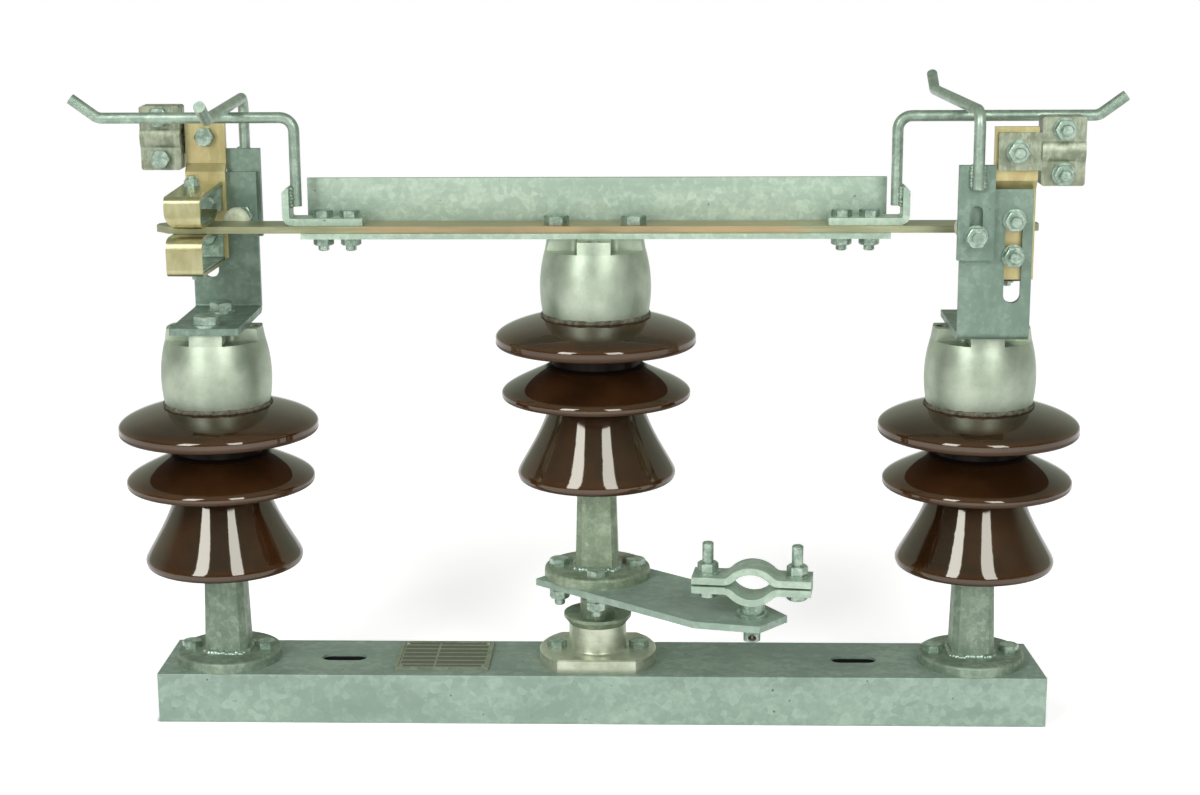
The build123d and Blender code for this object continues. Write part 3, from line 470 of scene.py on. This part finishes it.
def plateMetal():
    t = newFinish("plateMetal")
    low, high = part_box("nameplate")
    x, y, z = t.axes()
    across = (x - low[0]) / (high[0] - low[0])
    up = (y - low[1]) / (high[1] - low[1])
    row = t.node("ShaderNodeMath", {"operation": "FRACT"}, {0: up * plateLook["rows"]})
    field = row.between(*plateLook["rule"]) * row.between(*plateLook["end"])
    column = abs(across - plateLook["column"]).between(*plateLook["columnRule"])
    near, far = plateLook["frame"]
    inside = across.between(near, far) * across.between(1 - near, 1 - far)
    inside = inside * up.between(near, far) * up.between(1 - near, 1 - far)
    wear = t.noise(0.006, 5.0, 0.65)
    etched = field * column * inside * (0.72 + wear * 0.3).least(1.0)
    scuffed = t.blend(wear.between(0.3, 0.7), plateLook["scuffed"], plateLook["metal"])
    body = t.blend(etched, scuffed, plateLook["etched"])
    return finish("plateMetal", {
        "Base Color": body, "Roughness": plateLook["rough"] + etched * 0.2 + wear * 0.1,
        "Metallic": plateLook["metallic"] - etched * 0.45,
        "Normal": t.bump((1 - etched) * 0.7 + wear * 0.2, plateLook["lumps"], 0.6)}, t)


plateMetal()
print("metal, nylon and plate finishes made")

# Each CAD node takes its finish
nodeFinish = {
    "castAluminium": ["left_cap", "right_cap", "centre_cap"],
    "ironZinc": ["left_pedestal", "right_pedestal"],
    "rotorZinc": ["centre_pedestal", "dust_cover", "rotor_shaft"],
    "steelZinc": ["base_channel", "operating_lever"],
    "beamZinc": ["blade_beam", "horn_clips", "clamp_upper_half", "clamp_lower_half"],
    "shadedBracketZinc": ["left_bracket", "right_bracket", "horn_plates"],
    "rodZinc": ["moving_horns", "left_fixed_horn", "right_fixed_horn"],
    "boltZinc": ["pedestal_bolts", "bearing_bolts", "lever_bolts", "clamp_bolts", "clamp_pivot",
                 "beam_bolts", "bracket_bolts", "contact_bolts", "stop_bolts", "terminal_bolts",
                 "finger_springs"],
    "turnedMetal": ["bearing_housing"],
    "bladeMetal": ["contact_blade"],
    "litBarGilt": ["left_contact_bar", "right_contact_bar"],
    "giltMetal": ["upper_fingers", "lower_fingers"],
    "tinnedMetal": ["left_terminal", "right_terminal", "terminal_keepers"],
    "creamNylon": ["stop_buttons"],
    "plateMetal": ["nameplate"],
}
for side in ("left", "right", "centre"):
    low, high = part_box(side + "_pedestal")
    glazeName = side + "Glaze"
    glaze(glazeName, (low[0] + high[0]) / 2, low[2])
    nodeFinish[glazeName] = [side + "_insulator"]
for finishName, names in nodeFinish.items():
    for nodeName in names:
        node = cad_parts[nodeName]
        node.data.materials.clear()
        node.data.materials.append(finishes[finishName])
print("CAD nodes dressed")


def solidsOf(nodeName):
    # lowest and highest corner of each separate solid in a CAD node
    work = bmesh.new()
    work.from_mesh(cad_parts[nodeName].data)
    bmesh.ops.remove_doubles(work, verts=work.verts, dist=1e-6)
    seen = set()
    boxes = []
    for start in work.verts:
        if start in seen:
            continue
        seen.add(start)
        group = [start]
        for vert in group:
            for edge in vert.link_edges:
                other = edge.other_vert(vert)
                if other not in seen:
                    seen.add(other)
                    group.append(other)
        low = Vector([min(v.co[i] for v in group) for i in range(3)])
        high = Vector([max(v.co[i] for v in group) for i in range(3)])
        boxes.append((low, high))
    work.free()
    return boxes


def pathMesh(name, runs):
    # an edge mesh with one chain for each run of points
    mesh = bpy.data.meshes.new(name)
    points = [tuple(p) for run in runs for p in run]
    edges = []
    start = 0
    for run in runs:
        edges += [(start + i, start + i + 1) for i in range(len(run) - 1)]
        start += len(run)
    mesh.from_pydata(points, edges, [])
    return mesh


def newTree(name, inputs):
    # a Geometry Nodes group with a geometry input and named size inputs
    group = bpy.data.node_groups.new(name, "GeometryNodeTree")
    group.interface.new_socket(name="Geometry", in_out="INPUT", socket_type="NodeSocketGeometry")
    for label, value in inputs.items():
        kind = {int: "NodeSocketInt", float: "NodeSocketFloat"}
        kind = kind.get(type(value), "NodeSocketMaterial")
        socket = group.interface.new_socket(name=label, in_out="INPUT", socket_type=kind)
        if kind != "NodeSocketMaterial":
            socket.default_value = value
    group.interface.new_socket(name="Geometry", in_out="OUTPUT", socket_type="NodeSocketGeometry")
    tree = Tree(group)
    tree.group = group
    source = group.nodes.new("NodeGroupInput")
    tree.given = {s.name: Value(tree, s) for s in source.outputs if s.name}
    return tree


def closeTree(tree, geometry):
    smooth = tree.node("GeometryNodeSetShadeSmooth", {}, {"Geometry": geometry})
    whole = tree.node("GeometryNodeRealizeInstances", {}, {"Geometry": smooth})
    return paintTree(tree, whole)


def paintTree(tree, geometry):
    painted = tree.node("GeometryNodeSetMaterial", {}, {"Geometry": geometry,
                                                        "Material": tree.given["Material"]})
    tree.node("NodeGroupOutput", {}, {"Geometry": painted})
    return tree.group


def standAlong(tree, piece):
    # the piece on each point, turned to that point's own direction
    turn = tree.node("GeometryNodeInputNamedAttribute", {"data_type": "FLOAT_VECTOR"},
                     {"Name": "turn"}, "Attribute")
    rotation = tree.node("FunctionNodeEulerToRotation", {}, {0: turn})
    return tree.node("GeometryNodeInstanceOnPoints", {}, {
        "Points": tree.given["Geometry"], "Instance": piece, "Rotation": rotation})


def grow(name, mesh, group, values):
    # runs the tree on a mesh and keeps the outcome as a plain mesh object
    seed = bpy.data.objects.new(name + "Seed", mesh)
    bpy.context.collection.objects.link(seed)
    modifier = seed.modifiers.new("grow", "NODES")
    modifier.node_group = group
    for item in group.interface.items_tree:
        if item.item_type == "SOCKET" and item.in_out == "INPUT" and item.name in values:
            modifier[item.identifier] = values[item.name]
    evaluated = seed.evaluated_get(bpy.context.evaluated_depsgraph_get())
    made = bpy.data.meshes.new_from_object(evaluated)
    bpy.data.objects.remove(seed)
    piece = bpy.data.objects.new(name, made)
    bpy.context.collection.objects.link(piece)
    return piece


def joinPieces(name, pieces):
    # one object from several, all of them at the origin
    work = bmesh.new()
    for piece in pieces:
        work.from_mesh(piece.data)
    material = pieces[0].data.materials[0]
    mesh = bpy.data.meshes.new(name)
    work.to_mesh(mesh)
    work.free()
    mesh.materials.append(material)
    for piece in pieces:
        bpy.data.objects.remove(piece)
    joined = bpy.data.objects.new(name, mesh)
    bpy.context.collection.objects.link(joined)
    return joined


def middleOf(low, high):
    return (low[0] + high[0]) / 2, (low[1] + high[1]) / 2


def settle(piece, body):
    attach(piece, body)


# Cement that shows as a rough dark ring under each cap
ringLook = {"radius": 38.0 * mm, "thick": 2.3 * mm, "lift": 0.8 * mm, "rough": 1.5 * mm,
            "grit": 190.0}
ringSets = [("cement_rings", ("left", "right"), "base"),
            ("centre_cement_ring", ("centre",), "rotor")]


def ringTree():
    t = newTree("cementRing", {"Radius": ringLook["radius"], "Thickness": ringLook["thick"],
                               "Roughness": ringLook["rough"], "Material": None})
    g = t.given
    circle = t.node("GeometryNodeCurvePrimitiveCircle", {}, {"Resolution": 120,
                                                             "Radius": g["Radius"]})
    profile = t.node("GeometryNodeCurvePrimitiveCircle", {}, {"Resolution": 8,
                                                              "Radius": g["Thickness"]})
    tube = t.node("GeometryNodeCurveToMesh", {}, {"Curve": circle, "Profile Curve": profile})
    placed = t.node("GeometryNodeInstanceOnPoints", {}, {"Points": g["Geometry"],
                                                         "Instance": tube})
    real = t.node("GeometryNodeRealizeInstances", {}, {"Geometry": placed})
    spot = t.node("GeometryNodeInputPosition")
    wobble = t.node("ShaderNodeTexNoise", {}, {"Vector": spot, "Scale": ringLook["grit"],
                                               "Detail": 3.0}, "Fac")
    normal = t.node("GeometryNodeInputNormal")
    push = t.node("ShaderNodeVectorMath", {"operation": "SCALE"},
                  {0: normal, "Scale": (wobble - 0.5) * g["Roughness"] * 2}, "Vector")
    moved = t.node("GeometryNodeSetPosition", {}, {"Geometry": real, "Offset": push})
    return closeTree(t, moved)


ringGroup = ringTree()
for ringName, sides, body in ringSets:
    spots = []
    for side in sides:
        low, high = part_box(side + "_cap")
        spots.append([(*middleOf(low, high), low[2] - ringLook["lift"])])
    rings = grow(ringName, pathMesh(ringName, spots), ringGroup,
                 {"Radius": ringLook["radius"], "Thickness": ringLook["thick"],
                  "Roughness": ringLook["rough"], "Material": finishes["greyCement"]})
    settle(rings, body)
print("cement rings cast")

# Weld beads: overlapping drops along a path, dipped in zinc with the rest
beadLook = {"footHalf": 15.8 * mm, "corner": 4.3 * mm, "flange": 8.0 * mm,
            "footSize": 3.1 * mm, "hornSize": 2.4 * mm, "step": 0.85, "seed": 5,
            "least": (0.75, 0.75, 0.6), "most": (1.2, 1.2, 1.0),
            "stray": (0.4 * mm, 0.4 * mm, 0.3 * mm),
            "rod": 4.0 * mm, "clip": 5.0 * mm, "aside": 3.6 * mm, "proud": 0.8 * mm,
            "fixedFoot": 2.0 * mm, "movingFoot": 1.0 * mm, "top": 1.0 * mm}


def beadTree():
    t = newTree("weldBead", {"Size": beadLook["hornSize"], "Pitch": beadLook["hornSize"],
                             "Seed": beadLook["seed"], "Material": None})
    g = t.given
    line = t.node("GeometryNodeMeshToCurve", {}, {"Mesh": g["Geometry"]})
    steps = t.node("GeometryNodeResampleCurve", {"mode": "LENGTH"}, {"Curve": line,
                                                                     "Length": g["Pitch"]})
    drop = t.node("GeometryNodeMeshIcoSphere", {}, {"Radius": g["Size"], "Subdivisions": 2},
                  "Mesh")
    stray = beadLook["stray"]
    scale = t.node("FunctionNodeRandomValue", {"data_type": "FLOAT_VECTOR"},
                   {"Min": beadLook["least"], "Max": beadLook["most"], "Seed": g["Seed"]}, "Value")
    shift = t.node("FunctionNodeRandomValue", {"data_type": "FLOAT_VECTOR"},
                   {"Min": tuple(-s for s in stray), "Max": stray, "Seed": g["Seed"]}, "Value")
    loose = t.node("GeometryNodeSetPosition", {}, {"Geometry": steps, "Offset": shift})
    drops = t.node("GeometryNodeInstanceOnPoints", {}, {"Points": loose, "Instance": drop,
                                                        "Scale": scale})
    return closeTree(t, drops)


def footRun(nodeName):
    # round the bevelled square foot of a pedestal's post, on its flange
    low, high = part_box(nodeName)
    cx, cy = middleOf(low, high)
    a, b = beadLook["footHalf"], beadLook["footHalf"] - beadLook["corner"]
    outline = [(a, b), (b, a), (-b, a), (-a, b), (-a, -b), (-b, -a), (b, -a), (a, -b), (a, b)]
    return [(cx + x, cy + y, low[2] + beadLook["flange"]) for x, y in outline]


beadGroup = beadTree()


def hornRuns():
    # short beads up both sides of each horn's foot
    aside, proud, top = beadLook["aside"], beadLook["proud"], beadLook["top"]
    fixed = []
    for side, sign in (("left", 1), ("right", -1)):
        low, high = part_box(side + "_fixed_horn")
        plate = next(b for b in solidsOf("horn_plates") if b[0].x * sign < 0)
        x = (low[0] + beadLook["rod"]) if side == "left" else (high[0] - beadLook["rod"])
        y = (plate[1].y if side == "left" else plate[0].y) + sign * proud
        for step in (-1, 1):
            fixed.append([(x + step * aside, y, low[2] + beadLook["fixedFoot"]),
                          (x + step * aside, y, plate[1].z - top)])
    moving = []
    for low, high in solidsOf("horn_clips"):
        left = low.x < 0
        x = (low.x + beadLook["clip"] + proud) if left else (high.x - beadLook["clip"] - proud)
        horn = next(b for b in solidsOf("moving_horns") if (b[0].x < 0) == left)
        for step in (-1, 1):
            moving.append([(x, step * aside, horn[0].z + beadLook["movingFoot"]),
                           (x, step * aside, high.z - top)])
    return fixed, moving


fixedRuns, movingRuns = hornRuns()
footRuns = [footRun("left_pedestal"), footRun("right_pedestal")]
beadSets = [  # piece, body, runs, size, finish, slot
    ("pedestal_welds", "base", footRuns, "footSize", "boltZinc", "galvanised_iron"),
    ("centre_pedestal_weld", "rotor", [footRun("centre_pedestal")], "footSize", "boltZinc",
     "galvanised_iron"),
    ("fixed_horn_welds", "base", fixedRuns, "hornSize", "rodZinc", "galvanised_steel"),
    ("moving_horn_welds", "rotor", movingRuns, "hornSize", "rodZinc", "galvanised_steel"),
]
for beadName, body, runs, size, finishName, slotName in beadSets:
    bead = grow(beadName, pathMesh(beadName, runs), beadGroup,
                {"Size": beadLook[size], "Pitch": beadLook[size] * beadLook["step"],
                 "Seed": beadLook["seed"], "Material": finishes[finishName]})
    settle(bead, body)
print("weld beads laid")

# Threads on every bolt end that stands out of its nut
studLooks = [  # node, body, way the end points, length out, nearest x that counts
    ("pedestal_bolts", "base", "down", 5.0, 0.0), ("bearing_bolts", "base", "down", 5.0, 0.0),
    ("contact_bolts", "base", "out", 5.0, 0.0), ("terminal_bolts", "base", "out", 5.0, 0.0),
    ("stop_bolts", "base", "out", 5.0, 0.0), ("lever_bolts", "rotor", "down", 5.0, 0.0),
    ("beam_bolts", "rotor", "down", 4.0, 100.0), ("clamp_bolts", "pipe_clamp", "up", 14.4, 0.0)]
threadLook = {"radius": 4.0 * mm, "pitch": 1.25 * mm, "ridge": 0.36 * mm, "stand": 0.06 * mm,
              "end": 0.9 * mm}


def threadTree():
    t = newTree("thread", {"Radius": threadLook["radius"], "Length": threadLook["pitch"],
                           "Pitch": threadLook["pitch"], "Ridge": threadLook["ridge"],
                           "Material": None})
    g = t.given
    helix = t.node("GeometryNodeCurveSpiral", {}, {
        "Resolution": 14, "Rotations": g["Length"] / g["Pitch"], "Start Radius": g["Radius"],
        "End Radius": g["Radius"], "Height": g["Length"]})
    ridge = t.node("GeometryNodeCurvePrimitiveCircle", {}, {"Resolution": 4,
                                                            "Radius": g["Ridge"]})
    tube = t.node("GeometryNodeCurveToMesh", {}, {"Curve": helix, "Profile Curve": ridge,
                                                  "Fill Caps": True})
    return closeTree(t, standAlong(t, tube))


def turnedPoints(name, spots):
    # points with the turn that sets an upright piece along each point's direction
    mesh = pathMesh(name, [[place] for place, way in spots])
    turn = mesh.attributes.new("turn", "FLOAT_VECTOR", "POINT")
    for item, (place, way) in zip(turn.data, spots):
        item.vector = Vector(way).to_track_quat("Z", "Y").to_euler()
    return mesh


def studSpots(nodeName, way, length, nearX):
    spots = []
    for low, high in solidsOf(nodeName):
        middle = (low + high) / 2
        if abs(middle.x) < nearX * mm:
            continue
        if way == "down":
            spots.append(((middle.x, middle.y, low.z + length), (0, 0, -1)))
        elif way == "up":
            spots.append(((middle.x, middle.y, high.z - length), (0, 0, 1)))
        elif middle.x < 0:
            spots.append(((middle.x, high.y - length, middle.z), (0, 1, 0)))
        else:
            spots.append(((middle.x, low.y + length, middle.z), (0, -1, 0)))
    return spots


threadGroup = threadTree()
threads = {}
for nodeName, body, way, length, nearX in studLooks:
    spots = studSpots(nodeName, way, length * mm, nearX)
    made = grow(nodeName + "_thread", turnedPoints(nodeName, spots), threadGroup,
                {"Radius": threadLook["radius"] - threadLook["ridge"] + threadLook["stand"],
                 "Length": length * mm - threadLook["end"], "Pitch": threadLook["pitch"],
                 "Ridge": threadLook["ridge"], "Material": finishes["boltZinc"]})
    threads.setdefault(body, []).append(made)
for body, made in threads.items():
    settle(joinPieces(body + "_threads", made), body)
print("threads cut")

# Nuts that hold the springs inside the contact fingers, above and below each jaw
nutLook = {"across": 10.0 * mm, "thick": 5.0 * mm, "washer": 5.6 * mm, "washerThick": 1.2 * mm,
           "stud": 3.0 * mm, "studOut": 2.4 * mm, "back": 50.0 * mm, "aside": 3.0 * mm,
           "corner": 0.577, "flats": 0.8, "crown": 0.49,
           "droop": 2.0 * mm, "clear": 0.1 * mm, "lean": 0.024}


def nutTree():
    t = newTree("nut", {"Across": nutLook["across"], "Thickness": nutLook["thick"],
                        "Washer": nutLook["washer"], "Washer Thickness": nutLook["washerThick"],
                        "Stud": nutLook["stud"], "Stud Out": nutLook["studOut"],
                        "Material": None})
    g = t.given
    across, thick, base = g["Across"], g["Thickness"], g["Washer Thickness"]

    def drum(sides, radius, height, low):
        made = t.node("GeometryNodeMeshCylinder", {}, {"Vertices": sides, "Radius": radius,
                                                       "Depth": height}, "Mesh")
        lift = t.node("ShaderNodeCombineXYZ", {}, {"Z": low + height / 2})
        return t.node("GeometryNodeTransform", {}, {"Geometry": made, "Translation": lift})

    # washer, flats, rounded crown and stud
    parts = [drum(28, g["Washer"], base, 0.0),
             drum(6, across * nutLook["corner"], thick * nutLook["flats"], base),
             drum(24, across * nutLook["crown"], thick, base),
             drum(20, g["Stud"], g["Stud Out"] + thick, base)]
    whole = t.node("GeometryNodeJoinGeometry")
    join = whole.socket.node
    for part in parts:
        t.nodeTree.links.new(part.socket, join.inputs[0])
    real = t.node("GeometryNodeRealizeInstances", {}, {"Geometry": standAlong(t, whole)})
    return paintTree(t, real)


nutSpots = []
for fingers, up in (("upper_fingers", 1), ("lower_fingers", -1)):
    for low, high in solidsOf(fingers):
        sign = -1 if low.x < 0 else 1
        x = (low.x + high.x) / 2 + sign * nutLook["aside"]
        y = (low.y + nutLook["back"]) if sign < 0 else (high.y - nutLook["back"])
        share = nutLook["back"] / (high.y - low.y)
        droop = nutLook["droop"] * (1 - share) + nutLook["clear"]
        z = (high.z - droop) if up > 0 else (low.z + droop)
        nutSpots.append(((x, y, z), (0, nutLook["lean"] * -sign * up, up)))
fingerNuts = grow("finger_nuts", turnedPoints("fingerNuts", nutSpots), nutTree(),
                  {"Across": nutLook["across"], "Thickness": nutLook["thick"],
                   "Washer": nutLook["washer"], "Washer Thickness": nutLook["washerThick"],
                   "Stud": nutLook["stud"], "Stud Out": nutLook["studOut"],
                   "Material": finishes["boltZinc"]})
settle(fingerNuts, "base")
print("finger nuts on")

# Split pin through the end of the clamp's pivot stud
pinLook = {"wire": 1.0 * mm, "eye": 2.4 * mm, "up": 3.8 * mm, "leg": 6.4 * mm, "spread": 2.6 * mm}


def splitPin():
    low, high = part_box("clamp_pivot")
    cx, cy = middleOf(low, high)
    wire, eye, leg, spread = (pinLook[key] for key in ("wire", "eye", "leg", "spread"))
    line = bpy.data.curves.new("splitPin", "CURVE")
    line.dimensions = "3D"
    line.bevel_depth = wire
    line.bevel_resolution = 3
    line.use_fill_caps = True
    # one leg, round the eye and back down the other
    points = [(spread * 0.8, leg + 3 * mm), (wire, leg), (wire * 0.9, 0), (wire, -leg + 2 * mm),
              (eye * 0.9, -leg - eye * 0.4), (eye * 0.75, -leg - eye * 1.5),
              (0, -leg - eye * 2.1),
              (-eye * 0.75, -leg - eye * 1.5), (-eye * 0.9, -leg - eye * 0.4),
              (-wire, -leg + 2 * mm), (-wire * 0.9, 0), (-wire, leg), (-spread, leg + 2.4 * mm)]
    spline = line.splines.new("NURBS")
    spline.points.add(len(points) - 1)
    for point, (across, along) in zip(spline.points, points):
        point.co = (cx + across, cy + along, low[2] + pinLook["up"], 1)
    spline.order_u = 3
    spline.use_endpoint_u = True
    holder = bpy.data.objects.new("splitPinHolder", line)
    bpy.context.collection.objects.link(holder)
    evaluated = holder.evaluated_get(bpy.context.evaluated_depsgraph_get())
    mesh = bpy.data.meshes.new_from_object(evaluated)
    bpy.data.objects.remove(holder)
    mesh.materials.clear()
    mesh.materials.append(finishes["rustyWire"])
    mesh.shade_smooth()
    pin = bpy.data.objects.new("split_pin", mesh)
    bpy.context.collection.objects.link(pin)
    return pin


settle(splitPin(), "pipe_clamp")
print("split pin fitted")

# Rivets at the corners of the nameplate
rivetLook = {"radius": 1.7 * mm, "inset": 4.5 * mm, "sink": 0.6 * mm, "flat": 0.55}


def rivetTree():
    t = newTree("rivet", {"Radius": rivetLook["radius"], "Material": None})
    g = t.given
    ball = t.node("GeometryNodeMeshUVSphere", {}, {"Segments": 20, "Rings": 12,
                                                   "Radius": g["Radius"]}, "Mesh")
    flat = t.node("GeometryNodeTransform", {}, {"Geometry": ball,
                                                "Scale": (1, 1, rivetLook["flat"])})
    placed = t.node("GeometryNodeInstanceOnPoints", {}, {"Points": g["Geometry"],
                                                         "Instance": flat})
    return closeTree(t, placed)


low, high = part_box("nameplate")
inset = rivetLook["inset"]
corners = [[(x, y, high[2] - rivetLook["sink"])] for x in (low[0] + inset, high[0] - inset)
           for y in (low[1] + inset, high[1] - inset)]
rivets = grow("nameplate_rivets", pathMesh("rivets", corners), rivetTree(),
              {"Radius": rivetLook["radius"], "Material": finishes["boltZinc"]})
settle(rivets, "base")
print("rivets set")

# Floor and studio
white = (1, 1, 1, 1)
floorLook = {"half": 9.0, "level": -0.4 * mm, "colour": (0.86, 0.86, 0.86, 1), "glow": 0.58,
             "white": (0.7, 1.9), "shadeEdge": 3 * mm}


def floorMaterial():
    t = newFinish("paleFloor")
    x, y, z = t.axes()
    away = (x ** 2 + y ** 2) ** 0.5
    far = away.between(*floorLook["white"])
    low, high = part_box("base_channel")
    edge = floorLook["shadeEdge"]
    # no glow under the base channel: a painted shadow beneath it
    paintedShadow = abs(x).between(high[0], high[0] - edge) * abs(y).between(high[1], high[1] - edge)
    paths = t.node("ShaderNodeLightPath", {}, {}, "Is Camera Ray")
    seen = paths
    for other in ("Is Glossy Ray", "Is Transmission Ray"):
        seen = seen.most(Value(t, pick(paths.socket.node.outputs, other)))
    matt = t.node("ShaderNodeBsdfDiffuse", {}, {"Color": floorLook["colour"]}, "BSDF")
    strength = floorLook["glow"] * (1 - paintedShadow)
    glow = t.node("ShaderNodeEmission", {}, {"Color": white, "Strength": strength}, "Emission")
    near = t.node("ShaderNodeAddShader", {}, {0: matt, 1: glow}, "Shader")
    plain = t.node("ShaderNodeEmission", {}, {"Color": white, "Strength": 1.0}, "Emission")
    shown = t.node("ShaderNodeMixShader", {}, {"Fac": far, 1: near, 2: plain}, "Shader")
    whole = t.node("ShaderNodeMixShader", {}, {"Fac": seen, 1: matt, 2: shown}, "Shader")
    t.node("ShaderNodeOutputMaterial", {}, {"Surface": whole})
    return t.material


half, level = floorLook["half"], floorLook["level"]
floorMesh = bpy.data.meshes.new("floor")
floorMesh.from_pydata([(-half, -half, level), (half, -half, level), (half, half, level),
                       (-half, half, level)], [], [(0, 1, 2, 3)])
floorMesh.materials.append(floorMaterial())
floor = bpy.data.objects.new("floor", floorMesh)
bpy.context.collection.objects.link(floor)

studioLook = {"ambientLow": 0.50, "ambientHigh": 0.12, "climb": (0.15, 0.85),
              "frontSeen": 0.10, "backSeen": 0.50, "topSeen": 0.33,
              "back": (-0.15, 0.40), "wrap": 0.08, "top": (0.25, 0.75), "horizon": (0.0, -0.02),
              "tint": (0.97, 1.0, 0.93, 1), "mirrorTint": (0.90, 1.0, 0.82, 1)}


def studioWorld():
    world = bpy.data.worlds.new("studio")
    world.use_nodes = True
    world.node_tree.nodes.clear()
    t = Tree(world.node_tree)
    way = t.node("ShaderNodeTexCoord", {}, {}, "Generated")
    split = t.node("ShaderNodeSeparateXYZ", {}, {"Vector": way})
    x, y, z = [Value(t, s) for s in split.socket.node.outputs]
    low, high = studioLook["ambientLow"], studioLook["ambientHigh"]
    ambient = low + (high - low) * z.between(*studioLook["climb"])
    behind = (y + abs(x) * studioLook["wrap"]).between(*studioLook["back"])
    front, back = studioLook["frontSeen"], studioLook["backSeen"]
    mirrored = front + (back - front) * behind
    overhead = z.between(*studioLook["top"])
    mirrored = mirrored * (1 - overhead) + studioLook["topSeen"] * overhead
    paths = t.node("ShaderNodeLightPath", {}, {}, "Is Camera Ray")
    glossy = Value(t, pick(paths.socket.node.outputs, "Is Glossy Ray"))
    through = Value(t, pick(paths.socket.node.outputs, "Is Transmission Ray"))
    # below the horizon the backdrop is white, and metal and glaze show it too
    below = z.between(*studioLook["horizon"])
    mirrored = mirrored.most(below)
    level = ambient * (1 - glossy) + mirrored * glossy
    level = (level * (1 - paths) + paths).most(through)
    tone = t.blend(glossy, studioLook["tint"], studioLook["mirrorTint"])
    tone = t.blend(paths, tone, white)
    shown = t.node("ShaderNodeBackground", {}, {"Color": tone, "Strength": level}, "Background")
    t.node("ShaderNodeOutputWorld", {}, {"Surface": shown})
    bpy.context.scene.world = world


studioWorld()

lampLooks = {  # degrees round from the front, metres and watts
    "leftStrip": {"turn": -34, "away": 2.3, "high": 1.45, "wide": 0.75, "tall": 1.8,
                  "power": 39, "mirrored": True},
    "rightStrip": {"turn": 24, "away": 2.3, "high": 1.45, "wide": 0.75, "tall": 1.8,
                   "power": 32, "mirrored": True},
    "backLeft": {"turn": -140, "away": 2.4, "high": 0.6, "wide": 1.4, "tall": 1.0,
                 "power": 11, "mirrored": False},
    "backRight": {"turn": 135, "away": 2.4, "high": 0.6, "wide": 1.4, "tall": 1.0,
                  "power": 11, "mirrored": False},
}
aim = Vector((0, 0, 0.25))
for lampName, look in lampLooks.items():
    lamp = bpy.data.lights.new(lampName, "AREA")
    lamp.shape = "RECTANGLE"
    lamp.size = look["wide"]
    lamp.size_y = look["tall"]
    lamp.energy = look["power"]
    holder = bpy.data.objects.new(lampName, lamp)
    turn = math.radians(look["turn"])
    holder.location = (look["away"] * math.sin(turn), -look["away"] * math.cos(turn), look["high"])
    holder.rotation_euler = (aim - holder.location).to_track_quat("-Z", "Y").to_euler()
    holder.visible_camera = False
    holder.visible_glossy = look["mirrored"]
    bpy.context.collection.objects.link(holder)

cameraLook = {"place": (0.0544, -1.5486, 0.5942), "yaw": -1.910, "pitch": 12.839, "roll": -0.358,
              "lens": 64.6, "film": 36, "farthest": 50}
yaw, pitch, roll = (math.radians(cameraLook[k]) for k in ("yaw", "pitch", "roll"))
forward = Vector((math.sin(yaw) * math.cos(pitch), math.cos(yaw) * math.cos(pitch),
                  -math.sin(pitch)))
side = Vector((math.cos(yaw), -math.sin(yaw), 0))
upward = side.cross(forward)
sideRolled = side * math.cos(roll) + upward * math.sin(roll)
upRolled = upward * math.cos(roll) - side * math.sin(roll)
eye = bpy.data.cameras.new("eye")
eye.lens = cameraLook["lens"]
eye.sensor_width = cameraLook["film"]
eye.clip_end = cameraLook["farthest"]
camera = bpy.data.objects.new("eye", eye)
turnMatrix = Matrix((sideRolled, upRolled, -forward)).transposed()
camera.matrix_world = Matrix.Translation(cameraLook["place"]) @ turnMatrix.to_4x4()
bpy.context.collection.objects.link(camera)
bpy.context.scene.camera = camera
bpy.context.scene.view_settings.view_transform = "Standard"
print("studio set")
